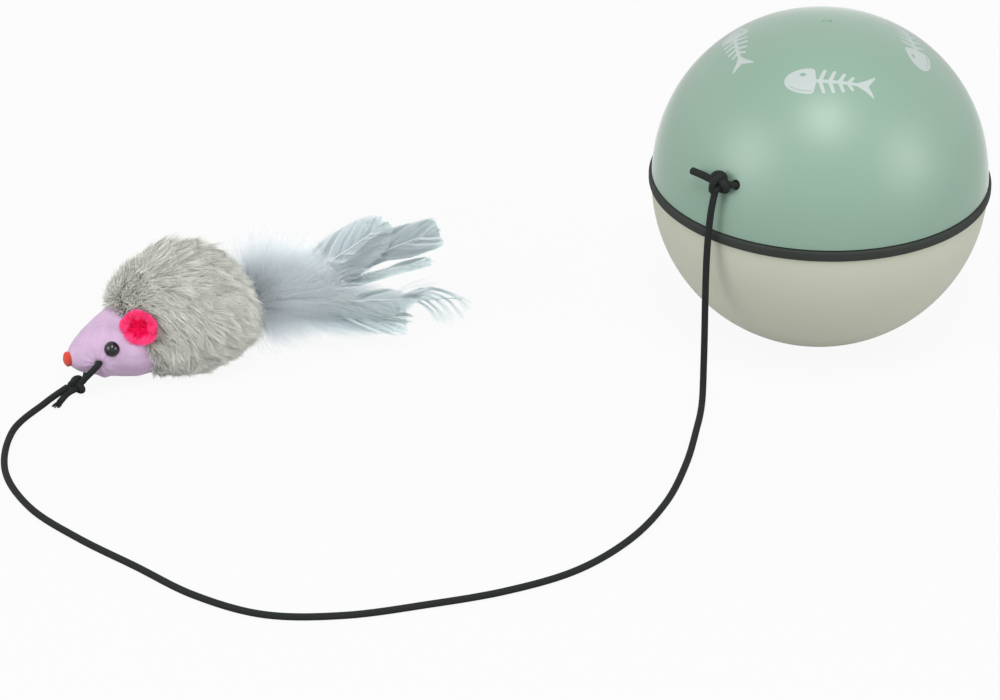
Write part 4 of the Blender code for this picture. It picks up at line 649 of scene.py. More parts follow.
# %% Four fishbones round the pole
print_places = [("front", 31.0, -2.1, -6.5), ("left", 31.7, -89.5, -87.7),
                ("right", 30.0, 89.8, 108.0), ("back", 31.0, 178.0, 173.5)]
for name, *turns in print_places:
    fishbone(f"fishbone_{name}", *(math.radians(turn) for turn in turns))
print("fishbones:", [place[0] for place in print_places])

# %% [markdown]
# ## The mouse's felt head
#
# The head is a cone of lilac felt drawn over a filling, so it is smooth, with small dents and
# with creases that run from the holes where the cord goes in. A loft of rings along the snout
# takes its sizes from the CAD model's table of shares, and noise moves its points a little.


# %% Helper: a table of sizes with rounded corners
def rounded_table(table, steps, rounds):
    """The rows of a table on a finer grid, smoothed: the grid, then each column of values."""
    table = np.array(table)
    grid = np.linspace(table[0, 0], table[-1, 0], steps)
    columns = []
    for column in table.T[1:]:
        values = np.interp(grid, table[:, 0], column)
        for _ in range(rounds):
            values[1:-1] = (values[:-2] + 2 * values[1:-1] + values[2:]) / 4
        columns.append(values)
    return grid, columns


# %% Felt material
def felt_look(name, colour, fibre):
    """Short matted fibres: two noises in the colour, a soft sheen and a fine bump."""
    look, tree, shader = principled(name, {
        "Roughness": 0.9, "Sheen Weight": 0.25, "Sheen Roughness": 0.5})
    surface = use_group(tree, grain_group, Grain_Scale=fibre, Patch_Scale=fibre / 9)
    blend = math_node(tree, "ADD", math_node(tree, "MULTIPLY", surface["Grain"], 0.45),
                      math_node(tree, "MULTIPLY", surface["Patch"], 0.55))
    ramp = tree.nodes.new("ShaderNodeValToRGB")
    for element, position, level in zip(ramp.color_ramp.elements, (0.3, 0.7), (0.82, 1.12)):
        element.position = position
        element.color = (*[min(1, value * level) for value in colour], 1)
    tree.links.new(blend, ramp.inputs["Fac"])
    tree.links.new(ramp.outputs["Color"], shader.inputs["Base Color"])
    bumped(tree, shader, surface["Grain"], 0.6, 0.08)
    return look


lilac_felt = felt_look("lilac_felt", (0.605, 0.430, 0.620), 2600.0)
nose_felt = felt_look("orange_felt", (0.64, 0.055, 0.025), 3200.0)

# %% The head's sizes, as in the CAD model
head_start, head_length = 1.0, 24.0
head_radius, snout_height = 9.0, 8.0
head_height = head_radius + 0.5
head_grid, (head_sizes,) = rounded_table([(0, .20), (.04, .35), (.14, .53), (.28, .73), (.45, .90),
                                          (.62, 1), (.80, .98), (1, .90)], 60, 6)
cheek_hole = Vector((6.2, -5.7, 8.1))
far_hole = Vector((6.2, 5.7, 8.1))
chin_point = Vector((8.0, -3.6, 3.2))


def head_point(share, angle):
    """A point of the head in the mouse's frame, in millimetres; angle 0 is its +Y side."""
    radius = head_radius * np.interp(share, head_grid, head_sizes)
    height = snout_height + (head_height - snout_height) * min(1, 2 * share)
    return Vector((head_start + head_length * share, radius * math.cos(angle),
                   height + radius * math.sin(angle)))


# %% The head as a loft
head_rings, head_around = 76, 88
hole_width, hole_depth, crease_width, crease_depth, creases = 1.15, 0.75, 3.4, 0.20, 11
head_points = []
for ring in range(head_rings):
    share = (ring / (head_rings - 1)) ** 1.2
    for step in range(head_around):
        angle = math.tau * step / head_around
        point = head_point(share, angle)
        way = Vector((0, math.cos(angle), math.sin(angle)))
        soft = noise.fractal(point * 0.16, 1.0, 2.0, 3) * 0.28
        bend = 0.0
        for hole in (cheek_hole, far_hole):
            reach = (point - hole).length
            turn = math.atan2(point.z - hole.z, point.x - hole.x)
            bend += (crease_depth * math.exp(-(reach / crease_width) ** 2)
                     * math.cos(creases * turn + 0.6))
            bend -= hole_depth * math.exp(-(reach / hole_width) ** 2)
        bend += 0.5 * math.exp(-((point - chin_point).length / 1.2) ** 2)
        point = point + way * (soft * min(1, share * 5) + bend)
        point.z = max(point.z, 0.5)
        head_points.append(mouse_frame @ (point * mm))
felt_head = add_piece("felt_head", head_points, ring_faces(head_rings, head_around, flip=True),
                      lilac_felt, "ball", sharp=50)
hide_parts("mouse_head")
print("felt head:", len(felt_head.data.polygons), "faces")

# %% [markdown]
# ## Nose, eyes and ears
#
# The nose is an oval dab of flocked felt, the eyes are glossy black beads half sunk in the felt,
# and the ears are rosettes of pink plush whose fibres fan out from a deep pink middle. The pink
# fibres also give off a very little light of their own: a painted glow that keeps the pile a
# bright pink where its fibres shade each other.

# %% The nose
nose_points = []
nose_rings, nose_around = 12, 36
nose_middle = Vector((0.5, 0, snout_height))
nose_size = Vector((1.25 * 0.85, 1.5, 1.9))
for ring in range(1, nose_rings):
    lean = math.pi * ring / nose_rings
    for step in range(nose_around):
        turn = math.tau * step / nose_around
        ball = Vector((-math.cos(lean), math.sin(lean) * math.cos(turn),
                       math.sin(lean) * math.sin(turn)))
        point = ball * nose_size * (1 + 0.05 * noise.noise(ball * 2.4))
        nose_points.append(mouse_frame @ ((nose_middle + point) * mm))
nose = add_piece("flocked_nose", nose_points, ring_faces(nose_rings - 1, nose_around, flip=True),
                 nose_felt, "ball", sharp=60)
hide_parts("mouse_nose")

# %% Glossy beads for the eyes
bead = grained("black_bead", (0.002, 0.003, 0.003), 0.04, grain=0.03, depth=0.002, gloss=0.4)
bead_shader = bead.node_tree.nodes["Principled BSDF"]
bead_shader.inputs["Coat Weight"].default_value = 0.4
bead_shader.inputs["Coat Roughness"].default_value = 0.03
for side in ("left", "right"):
    low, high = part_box(f"mouse_eye_{side}")
    radius = (high.z - low.z) / 2
    dome = [(radius * math.cos(lean) * (1 - 0.04 * math.sin(lean) ** 2),
             radius * math.sin(lean)) for lean in np.linspace(-math.pi / 2, math.pi / 2, 25)]
    dome[0] = (0.0002 * mm, dome[0][1])
    dome[-1] = (0.0002 * mm, dome[-1][1])
    eye = turned(f"bead_eye_{side}", dome, 48, bead, (low + high) / 2, sharp=60)
    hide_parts(f"mouse_eye_{side}")


# %% Material of fibres that carry their own tint
def fibre_look(name, root, tip, roughness, sheen, spread, through, painted_glow=0.0, gloss=0.3):
    """Colour runs from root to tip by the tone attribute, whose green varies each fibre."""
    look, tree, shader = principled(name, {
        "Roughness": roughness, "Sheen Weight": sheen, "Specular IOR Level": gloss,
        "Transmission Weight": through, "IOR": 1.1, "Emission Strength": painted_glow})
    tone = tree.nodes.new("ShaderNodeAttribute")
    tone.attribute_name = "tone"
    parts = tree.nodes.new("ShaderNodeSeparateColor")
    tree.links.new(tone.outputs["Color"], parts.inputs[0])
    level = math_node(tree, "MULTIPLY_ADD", parts.outputs["Green"], 2 * spread, 1 - spread)
    scaled = tree.nodes.new("ShaderNodeVectorMath")
    scaled.operation = "SCALE"
    tree.links.new(mixed(tree, parts.outputs["Red"], root, tip), scaled.inputs[0])
    tree.links.new(level, scaled.inputs["Scale"])
    # the same colour also feeds the emission: a painted glow, as strong as painted_glow
    for label in ("Base Color", "Emission Color"):
        tree.links.new(scaled.outputs[0], shader.inputs[label])
    return look


# %% Helpers: many ribbons in one mesh
def to_world(places):
    """Points or arrays of points from the mouse's frame in millimetres to metres."""
    return places @ mouse_axes.T * mm + np.array(mouse_frame.translation)


def unit(ways):
    """The same directions with length 1."""
    return ways / (np.linalg.norm(ways, axis=-1, keepdims=True) + 1e-12)


def ribbons(name, paths, normals, widths, tints, alongs, look):
    """Paths holds (strand, point, xyz) in metres; each strand becomes a flat, tapered ribbon."""
    count, steps, _ = paths.shape
    edge = unit(np.cross(np.gradient(paths, axis=1), normals)) * widths[..., None] / 2
    points = np.stack([paths - edge, paths + edge], axis=2).reshape(-1, 3)
    first = (np.arange(count)[:, None] * steps + np.arange(steps - 1)[None]) * 2
    faces = np.stack([first, first + 1, first + 3, first + 2], axis=2).reshape(-1, 4)
    piece = add_piece(name, points, faces.tolist(), look, "ball", sharp=180)
    tones = np.zeros((count, steps, 2, 4), np.float32)
    tones[..., 0] = np.broadcast_to(alongs, (count, steps))[:, :, None]
    tones[..., 1] = tints[:, None, None]
    tones[..., 3] = 1
    layer = piece.data.color_attributes.new("tone", "FLOAT_COLOR", "POINT")
    layer.data.foreach_set("color", tones.ravel())
    print(f"{name}: {count} ribbons, {len(faces)} faces")
    return piece


# %% Ears of pink plush
# the pink pile has a painted glow: it gives off a little light of its own
pink_plush = fibre_look("pink_plush", (0.97, 0.0, 0.16), (1.0, 0.22, 0.52), roughness=0.9,
                        sheen=0.0, spread=0.1, through=0.5, painted_glow=0.05, gloss=0.1)
ear_radius = 4.3
# each row of the pile: fibres, inner and outer share of the radius, lean in degrees, length, pale
ear_rows = [(500, 0.0, 0.42, 80, 1.6, 0.1), (800, 0.38, 0.66, 62, 2.2, 0.6),
            (1100, 0.60, 0.80, 34, 2.0, 1.0)]
ear_paling = np.array([0, 0.1, 0.3, 0.6, 0.85, 1])
ear_widths = np.array([0.42, 0.42, 0.4, 0.36, 0.28, 0.14]) * mm
ear_cup = [(0.001 * mm, -1.2 * mm), (ear_radius * 0.8 * mm, -0.5 * mm),
           (ear_radius * 0.8 * mm, -0.2 * mm), (0.001 * mm, -0.9 * mm)]


def ear_place(side):
    """The middle of an ear and the way that it faces, in the mouse's frame."""
    ear_lift, head_roll, ear_sunk = 13.0, 20.0, 0.55
    lift = math.radians(ear_lift - head_roll * side)
    out = np.array([0, side * math.cos(lift), math.sin(lift)])
    reach = head_radius * np.interp(0.5, head_grid, head_sizes) - ear_sunk
    root = np.array([head_start + head_length * 0.5, 0, head_height]) + reach * out
    face = unit(np.array([-0.6, 0.8 * side, 0.1]))
    return root + unit(out - face * (face @ out)) * ear_radius, face


def plush_ear(name, node, side, seed):
    """Rings of fibres that lean further out towards the rim, on a shallow cup."""
    draw = np.random.default_rng(seed)
    middle, face = ear_place(side)
    middle = to_world(middle)
    face = mouse_axes @ face
    across = unit(np.cross(face, [0, 0, 1]))
    above = np.cross(across, face)
    share = np.linspace(0, 1, len(ear_paling))
    paths, tints, alongs = [], [], []
    for count, inner, outer, lean, length, pale in ear_rows:
        turn = draw.uniform(0, math.tau, count)
        start = ear_radius * draw.uniform(inner, outer, count)
        ruffle = np.sin(5 * turn + outer * 9) + 0.5 * np.sin(8 * turn + 1.7)
        rise = np.radians(lean + 14 * ruffle + draw.normal(0, 6, count))
        reach = length * draw.uniform(0.85, 1.12, count)
        angle = rise[:, None] - share[None] ** 1.5 * np.radians(26)
        radial = start[:, None] + reach[:, None] * share * np.cos(angle)
        height = reach[:, None] * share * np.sin(angle) - 0.9 + 0.5 * outer
        twist = turn[:, None] + share[None] * draw.normal(0, 0.12, count)[:, None]
        rim = 1.0 + 0.06 * np.sin(5 * turn + 1.0) + 0.05 * np.sin(9 * turn)
        radial = np.minimum(radial, ear_radius * rim[:, None])
        place = (radial[..., None] * (np.cos(twist)[..., None] * across
                                      + np.sin(twist)[..., None] * above)
                 + height[..., None] * face) * mm
        paths.append(middle + place)
        # the tint follows the ruffle: painted shade in the folds, and lighter crests
        tints.append(np.clip(0.5 + 0.3 * ruffle / 1.5 + draw.normal(0, 0.12, count), 0, 1))
        alongs.append(np.broadcast_to(pale * ear_paling, place.shape[:2]))
    paths = np.concatenate(paths)
    normals = unit(np.broadcast_to(face, paths.shape) + draw.normal(0, 0.35, paths.shape))
    piece = ribbons(name, paths, normals, np.broadcast_to(ear_widths, paths.shape[:2]),
                    np.concatenate(tints), np.concatenate(alongs), pink_plush)
    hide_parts(node)
    backing = turned(name + "_backing", ear_cup, 32, pink_plush, middle, sharp=60,
                     axes=(across, above, face))


plush_ear("plush_ear_left", "mouse_ear_left", 1, 11)
plush_ear("plush_ear_right", "mouse_ear_right", -1, 12)

# %% [markdown]
# ## The fur body
#
# The body is a bag of short pile plush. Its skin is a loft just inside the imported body. On it
# stand about 60 000 fibres, drawn as thin tapered ribbons, which keep their look from any side
# and export as a plain mesh. Fibres lean back and down along the body, puff out as a ruff over
# the neck, and gather in about 4200 tufts, as handled plush does. None grows over an ear.

# %% The body's sizes, as in the CAD model
body_start, body_length, body_radius, floor_cut = 15.3, 34.6, 15.4, 0.5
# each row: share of the length, then the size, the rise and the lean of the ring there
body_grid, body_rows = rounded_table(
    [(0, .52, -.24, .32), (.05, .70, -.20, .32), (.16, .86, -.11, .25), (.36, 1, 0, .08),
     (.56, .98, 0, 0), (.75, .84, -.08, 0), (.89, .60, -.18, 0), (.97, .40, -.27, 0),
     (1, .30, -.32, 0)], 90, 8)


def body_places(along, angle, inside=0.0):
    """Points of the body in the mouse's frame, in millimetres, some way inside its surface."""
    size, rise, lean = (np.interp(along, body_grid, row) for row in body_rows)
    radius = body_radius * size - inside
    x = body_start + inside * 0.6 + (body_length - 1.2 * inside) * along
    x = x - lean * radius * np.sin(angle)
    height = body_radius * (1 + rise) - floor_cut + radius * np.sin(angle)
    return np.stack([x, radius * np.cos(angle), np.maximum(height, inside * 0.3)], axis=-1)


def body_normals(along, angle, step=0.004):
    """Outward directions, from two small steps over the surface."""
    forward = (body_places(np.minimum(along + step, 1), angle)
               - body_places(np.maximum(along - step, 0), angle))
    round_way = body_places(along, angle + step) - body_places(along, angle - step)
    return unit(np.cross(round_way, forward))


def skin_depth(along):
    """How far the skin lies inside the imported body, so that the fur's tips end near it."""
    return 1.6 + 1.7 * np.clip((along - 0.35) / 0.5, 0, 1)


# %% The skin under the fur
# the fibres darken towards the root: painted shade in the depth of the pile, between the tufts
fur_look = fibre_look("grey_fur", (0.46, 0.455, 0.405), (0.80, 0.81, 0.76), roughness=0.8,
                      sheen=0.3, spread=0.26, through=0.4)
skin_look = felt_look("fur_skin", (0.40, 0.40, 0.36), 1800.0)
skin_rings, skin_around = 60, 96
grid_along, grid_angle = np.meshgrid(np.linspace(0, 1, skin_rings),
                                     np.linspace(0, math.tau, skin_around, endpoint=False),
                                     indexing="ij")
skin_points = to_world(body_places(grid_along, grid_angle, skin_depth(grid_along)).reshape(-1, 3))
skin = add_piece("plush_skin", skin_points, ring_faces(skin_rings, skin_around, flip=True),
                 skin_look, "ball", sharp=70)
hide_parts("mouse_body")

# %% How the fur grows and lies
draw = np.random.default_rng(27)
fibre_count, tuft_count, fibre_steps = 60000, 4200, 4


def scatter(count):
    """Places on the body, denser where it is wider, so that the cover is even."""
    along = draw.uniform(0, 1, count * 2)
    size = np.interp(along, body_grid, body_rows[0])
    keep = draw.uniform(0, 1, count * 2) < size + 0.5 * np.clip(1 - along / 0.12, 0, 1)
    along = along[keep][:count]
    return along, draw.uniform(0, math.tau, len(along))


def crown_share(angle):
    """How near a place is to the top of the body, or rather a little to its +Y side."""
    return np.clip(np.sin(angle + 0.4), 0, 1) ** 2


def lie_of_fur(along, angle):
    """The way that fibres lean over the surface, and how far they stand off it."""
    ruff = np.clip(1 - along / 0.25, 0, 1)
    crown, skirt = crown_share(angle), np.clip(-np.sin(angle), 0, 1)
    back = 0.75 - (0.30 + 0.15 * crown) * ruff
    down = 0.75 * np.abs(np.cos(angle)) * (1 - 0.5 * ruff)
    side = np.sign(np.cos(angle))
    around = np.stack([np.zeros_like(angle), np.sin(angle) * side, -np.cos(angle) * side], -1)
    way = back[..., None] * np.array([1.0, 0, 0]) + down[..., None] * around
    return way, 1.9 - 0.4 * along + (0.3 + 0.9 * crown + 1.5 * skirt) * ruff


def fur_normals_at(along, angle):
    """Outward directions, held back at the neck so that the fur does not cover the face."""
    normals = body_normals(along, angle)
    normals[:, 0] = np.maximum(normals[:, 0], -0.05 - 0.55 * crown_share(angle))
    normals[:, 1] += 0.8 * np.sign(normals[:, 1]) * np.clip(-normals[:, 2] - 0.3, 0, 1)
    return unit(normals)


def grow(count, wander, shortest, longest):
    """Fibres on the skin: where they stand, which way they lie and how long they are."""
    along, angle = scatter(count)
    root = body_places(along, angle, skin_depth(along))
    way, stand = lie_of_fur(along, angle)
    way = way + draw.normal(0, wander, way.shape)
    length = draw.uniform(shortest, longest, len(along))
    return along, angle, root, fur_normals_at(along, angle), way, stand, length


def fibre_paths(root, normal, way, stand, length, share):
    """Curves that rise from the skin and lie down towards their tips."""
    way = way - normal * np.sum(way * normal, axis=-1, keepdims=True)
    rise = (1 - (1 - share) ** 2)[None, :, None] * stand[:, None, None] * normal[:, None, :]
    curl = draw.normal(0, 0.5, (len(root), 1, 3)) * (share ** 2)[None, :, None]
    return root[:, None, :] + way[:, None, :] * (length[:, None] * share)[..., None] + rise + curl


# %% Fibres, drawn towards the line of their tuft
_, _, *tuft_fibres = grow(tuft_count, 0.42, 4.2, 6.4)
tuft_tint = draw.uniform(0, 1, len(tuft_fibres[0]))
tree = kdtree.KDTree(len(tuft_tint))
for index, place in enumerate(tuft_fibres[0]):
    tree.insert(place, index)
tree.balance()
fibre_along, fibre_angle, *fibres = grow(fibre_count, 0.25, 3.8, 6.2)
owner = np.array([tree.find(place)[1] for place in fibres[0]])
share = np.linspace(0, 1, fibre_steps)
own = fibre_paths(*fibres, share)
tufts = fibre_paths(*tuft_fibres, share)[owner]
bushy = np.clip(1 - fibre_along / 0.3, 0, 1) * np.clip(np.sin(fibre_angle) + 0.2, 0, 1)
pull = (0.6 * share ** 1.4)[None, :, None] * (1 - 0.75 * bushy[:, None, None])
fur_paths = own * (1 - pull) + tufts * pull
fur_floor = 0.15 + 0.2 * draw.uniform(0, 1, fur_paths.shape[:2])
fur_paths[..., 2] = np.maximum(fur_paths[..., 2], fur_floor)

# %% Keep the fur off the face and the ears, and make its two halves
face_edge, ear_clearance = 14.2, 5.0
clear = (fur_paths[..., 0].min(axis=1) > face_edge) | (np.sin(fibre_angle) > 0.45)
for side in (1, -1):
    ear_middle, ear_face = ear_place(side)
    offset = fur_paths - ear_middle
    height = offset @ ear_face
    reach = np.linalg.norm(offset - height[..., None] * ear_face, axis=2)
    clear &= ~((reach < ear_clearance) & (height > -0.8)).any(axis=1)
fur_paths, fibre_normal, owner = fur_paths[clear], fibres[1][clear], owner[clear]
fur_normals = unit(fibre_normal[:, None, :] + draw.normal(0, 0.35, fur_paths.shape))
fur_normals = unit(fur_normals @ mouse_axes.T)
fur_widths = np.broadcast_to(np.array([0.22, 0.22, 0.17, 0.05]) * mm, fur_paths.shape[:2])
fur_tints = np.clip(0.7 * tuft_tint[owner] + 0.3 * draw.uniform(0, 1, len(owner)), 0, 1)
fur_alongs = np.array([0.0, 0.35, 0.8, 1.0])
# two meshes, so that neither is too large: the first holds the upper half of the pile
upper = fibre_angle[clear] % math.tau < math.pi
for half, chosen in (("left", upper), ("right", ~upper)):
    ribbons(f"plush_fur_{half}", to_world(fur_paths[chosen]), fur_normals[chosen],
            fur_widths[chosen], fur_tints[chosen], fur_alongs, fur_look)

# %% [markdown]
# ## The feather tail
#
# Five feathers are sewn into the back of the body. A feather is a quill with barbs on both sides.
# The barbs are modelled one by one as ribbons, since the gaps and the loose tips between them
# are what makes a feather. Each barb leaves its quill at an angle, bends towards the tip and ends
# at the outline of its feather. Neighbours hang together in locks, with splits between them. Two
# of the feathers are rolled about their quills, so that one side of the vane stands higher.
# Near the body the barbs are long, thin and curly, and a cloud of loose down covers the quills.

# %% Feather sizes, as in the CAD model
feather_look = fibre_look("grey_feather", (0.66, 0.71, 0.75), (0.83, 0.89, 0.89),
                          roughness=0.7, sheen=0.3, spread=0.14, through=0.8)
quill_look = grained("quill_horn", (0.72, 0.75, 0.74), 0.5, gloss=0.4)
feather_length, feather_half_width, feather_step = 46.0, 8.5, 1.1
first_barb, last_barb, downy_to, lowest_barb = 0.03, 0.985, 0.42, 0.2
feather_root = np.array([body_start + body_length + 0.25, 0, 10.5])
# each row: share of the length, then the width of the left and of the right side
feather_outlines = {
    "broad": [(0, .3, .3), (.32, .45, .6), (.48, .7, .78), (.58, .88, .85), (.68, .96, .88),
              (.79, .96, .88), (.88, .85, .82), (.95, .6, .68), (1, .22, .3)],
    "square": [(0, .06, .2), (.42, .08, .36), (.5, .1, .35), (.53, .18, .33), (.59, .28, .28),
               (.65, .42, .27), (.7, .52, .3), (.8, .52, .44), (.94, .42, .46),
               (.985, .38, .42), (1, .3, .3)],
    "narrow": [(0, .3, .3), (.5, .3, .6), (.6, .1, .45), (.74, .12, .38), (.8, .42, .36),
               (.95, .36, .3), (1, .1, .1)],
    "frond": [(0, .3, .3), (.2, .8, .65), (.45, 1.2, .95), (.6, 1.25, 1), (.7, .7, .65),
              (.76, .1, .1), (1, .02, .02)],
    "wedge": [(0, .3, .2), (.2, .6, .6), (.5, .8, .82), (.8, .7, .74), (.96, .55, .66),
              (1, .4, .5)],
}
# from the lowest up: node, length share, width share, climb, swing, camber, roll about the
# quill in degrees, outline, lean of the barbs and its fall, splits, spread of the locks in
# degrees, ragged end, shade
feather_sets = [
    ("feather_low", .775, 1.15, -4.5, -24.8, 1.2, 0, "wedge", (40, 14), 11, 3.0, .16, .75),
    ("feather_side", 1.07, .85, -0.5, -17.0, 2.0, 0, "frond", (40, 14), 9, 2.5, .1, .75),
    ("feather_mid", .955, .90, 8.0, -8.0, 2.0, 0, "narrow", (32, 10), 4, 1.0, .04, .9),
    ("feather_long", 1.03, 1.10, 13.2, -6.3, 2.0, 50, "square", (27, 8), 2, .2, .02, .5),
    ("feather_top", .76, 1.0, 6.0, 4.0, -8.0, 10, "broad", (46, 12), 3, .6, .02, .6)]
# the frond's tip: bundles of barbs that part like fingers, then two thin loose locks
frond_fingers = [
    ((83.6, -8.4, 8.0), (90.2, -8.6, 9.2), (95.7, -12.1, 7.6), (99.0, -14.3, 5.2)),
    ((83.6, -9.0, 8.0), (91.2, -9.4, 8.8), (95.9, -13.1, 7.2), (97.7, -15.7, 5.0)),
    ((84.0, -8.8, 7.8), (90.3, -10.1, 8.4), (94.0, -13.6, 6.8), (95.3, -17.8, 4.4)),
    ((84.0, -8.7, 7.6), (89.2, -10.2, 8.0), (92.1, -13.6, 6.2), (92.8, -17.5, 3.8)),
    ((84.3, -8.7, 7.4), (87.7, -10.0, 7.6), (90.4, -13.2, 5.6), (91.6, -17.1, 3.2)),
    ((83.9, -8.4, 7.2), (86.3, -9.5, 7.0), (89.0, -12.2, 5.2), (89.8, -15.5, 3.0))]
loose_barbs = [((83.0, -7.4, 9.0), (86.8, -7.5, 9.5), (91.3, -7.0, 9.0), (94.7, -6.8, 8.6)),
               ((83.5, -6.5, 9.0), (86.6, -6.7, 10.0), (90.7, -6.0, 10.0), (92.9, -6.5, 10.0))]


# %% Helpers: where barbs end, and bundles of loose barbs
def barb_runs(start, lean, length, outline, half, column, limit):
    """How far each barb runs before it meets the outline of the feather or its own limit."""
    run = np.linspace(0.3, 2.4 * half, 120)
    x = (start[:, None] + run * np.cos(lean)[:, None]) / length
    y = run * np.sin(lean)[:, None]
    reached = (x > limit[:, None]) | (y > half * np.interp(x, outline[:, 0], outline[:, column]))
    return run[np.argmax(reached, axis=1)]


def bundle(draw, route, steps, count, scatter_width):
    """Loose barbs side by side along a route that is given in the mouse's frame."""
    points, _ = curve([Vector(point) for point in route], 0.2)
    line = np.array(points)[np.linspace(0, len(points) - 1, steps).astype(int)]
    share = np.linspace(0, 1, steps)[:, None]
    shifts = draw.normal(0, scatter_width, (count, 1, 3)) * (1 - 0.45 * share)
    ends = draw.normal(0, 0.5, (count, 1, 3)) * share ** 3
    return line + shifts + ends


# %% One feather
def feather(number, node, length_share, width_share, climb, swing, camber, roll, kind, leans,
            splits, lock_spread, ragged, shade, barbs=560, steps=8, quill_steps=24):
    """The vane and the quill of one feather."""
    draw = np.random.default_rng(40 + number)
    length = feather_length * length_share
    half = feather_half_width * width_share
    outline = np.array(feather_outlines[kind])
    turn = np.array(Matrix.Rotation(math.radians(swing), 3, "Z")
                    @ Matrix.Rotation(math.radians(-climb), 3, "Y"))
    root = feather_root + np.array([half * 0.3 * abs(math.sin(math.radians(swing))), 0,
                                    (number - 2) * feather_step])
    share = np.linspace(0, 1, steps)
    paths, tints, alongs, widths = [], [], [], []
    for side, column in ((1, 1), (-1, 2)):
        place = np.sort(draw.uniform(first_barb, last_barb, barbs))
        lock = np.searchsorted(np.sort(draw.uniform(0.35, 0.96, splits)), place)
        drift = draw.normal(0, 1, splits + 1)[lock]
        downy = np.clip(1 - place / downy_to, 0, 1)
        lean = np.radians(leans[0] - leans[1] * place + lock_spread * drift
                          + draw.normal(0, 1.0 + 12 * downy))
        limit = 1 - ragged * draw.uniform(0, 1, splits + 1)[lock]
        run = barb_runs(place * length, lean, length, outline, half, column,
                        np.maximum(limit, place + 0.01))
        run = run * (1 + downy * draw.uniform(-0.2, 0.7, barbs)) * draw.uniform(0.93, 1.02, barbs)
        bend = lean[:, None] + np.radians(10) * (1 - 2 * share)
        stride = run[:, None] / (steps - 1)
        x = place[:, None] * length + (np.cumsum(np.cos(bend), 1) - np.cos(bend[:, :1])) * stride
        y = side * (np.cumsum(np.sin(bend), 1) - np.sin(bend[:, :1])) * stride
        wave = downy[:, None] * np.sin(share * 6 + draw.uniform(0, 6, (barbs, 1)))
        z = -camber * (x / length) ** 2 - 0.9 * (y / half) ** 2
        z = z + share * (1.5 * wave + 0.18 * drift[:, None] + draw.normal(0, 0.12, (barbs, 1)))
        paths.append(np.stack([x, y + 0.6 * wave * share, z], -1))
        tints.append(np.clip(draw.uniform(0, 0.6, barbs) + 0.8 * (shade - 0.45), 0, 1))
        alongs.append(np.clip(shade * (0.15 + 1.1 * x / length) + 0.15 * share, 0, 1))
        widths.append((0.30 - 0.16 * downy[:, None]) * (1 - 0.6 * share ** 2) * mm)
    turn = turn @ np.array(Matrix.Rotation(math.radians(roll), 3, "X"))
    paths = np.concatenate(paths) @ turn.T + root
    if kind == "frond":
        extra = np.concatenate(
            [bundle(draw, route, steps, 18, 0.20) for route in frond_fingers]
            + [bundle(draw, route, steps, 2, 0.1) for route in loose_barbs])
        paths = np.concatenate([paths, extra])
        tints.append(draw.uniform(0, 1, len(extra)))
        alongs.append(np.broadcast_to(0.6 + 0.2 * share, extra.shape[:2]))
        widths.append(np.broadcast_to(0.26 * (1 - 0.6 * share ** 3) * mm, extra.shape[:2]))
    paths[..., 2] = np.maximum(paths[..., 2], lowest_barb)
    normals = unit(np.broadcast_to(turn @ np.array([0, 0, 1.0]), paths.shape)
                   + draw.normal(0, 0.08, paths.shape)) @ mouse_axes.T
    vane = ribbons(node + "_vane", to_world(paths), normals, np.concatenate(widths),
                   np.concatenate(tints), np.concatenate(alongs), feather_look)
    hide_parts(node)
    line = [(place * length, 0, 0.1 - camber * place ** 2)
            for place in np.linspace(0, 0.72 if kind == "frond" else 0.9, quill_steps)]
    quill_path = [Vector(point) for point in to_world(np.array(line) @ turn.T + root)]
    radii = np.linspace(0.34, 0.08, quill_steps) * mm
    quill = add_piece(node + "_quill", *tube_mesh(quill_path, radii, 8), quill_look, "ball")


for number, sizes in enumerate(feather_sets):
    feather(number, *sizes)

# %% The down at the root of the feathers
draw = np.random.default_rng(61)
down_count, down_steps, down_top = 13000, 7, 1.1
down_look = fibre_look("grey_down", (0.82, 0.85, 0.88), (0.91, 0.945, 0.955), roughness=0.8,
                       sheen=0.3, spread=0.1, through=0.8)
share = np.linspace(0, 1, down_steps)
place = draw.uniform(0, 1, down_count) ** 1.3
roll = draw.uniform(-1, 1, down_count)
roll = down_top + math.pi * roll * (0.55 + 0.45 * np.abs(roll))
upward = np.clip(np.cos(roll - down_top), 0, 1)
lean = np.radians(draw.normal(30, 18, down_count) + 16 * place - 15 * upward)
radial = np.stack([np.zeros(down_count), np.cos(roll), np.sin(roll)], -1)
way = np.sin(lean)[:, None] * np.array([1.0, -0.1, 0]) + np.cos(lean)[:, None] * radial
reach = (14.0 - 5.0 * place + 2.5 * upward) * draw.uniform(0.5, 1.0, down_count) ** 0.5
# a few single wisps stand out of the top of the cloud
wisp = (draw.uniform(0, 1, down_count) < 0.03) & (upward > 0.7)
reach = np.where(wisp, reach + 4, reach)
spread_x = 18.5 - 6.5 * upward
start = (feather_root + np.array([-3.5, 0, 0.5])
         + place[:, None] * np.stack([spread_x, spread_x * -0.13, spread_x * 0.05], -1)
         + draw.normal(0, 1, (down_count, 3)) * 0.8)
curl = unit(draw.normal(0, 1, (down_count, 3)))
bow = (share ** 2)[None, :, None] * (curl * 0.22 + np.array([0.12, 0, 0]))[:, None, :]
wave = (np.sin(share * 8 + draw.uniform(0, 6, (down_count, 1))) * share * 0.5)[..., None]
down_paths = start[:, None, :] + way[:, None, :] * (reach[:, None] * share)[..., None]
down_paths = down_paths + bow * reach[:, None, None] + wave * np.roll(curl, 1, axis=1)[:, None, :]
down_paths[..., 2] = np.maximum(down_paths[..., 2], lowest_barb)
down_normals = unit(draw.normal(0, 0.25, down_paths.shape) + np.array([0, -0.8, 0.8]))
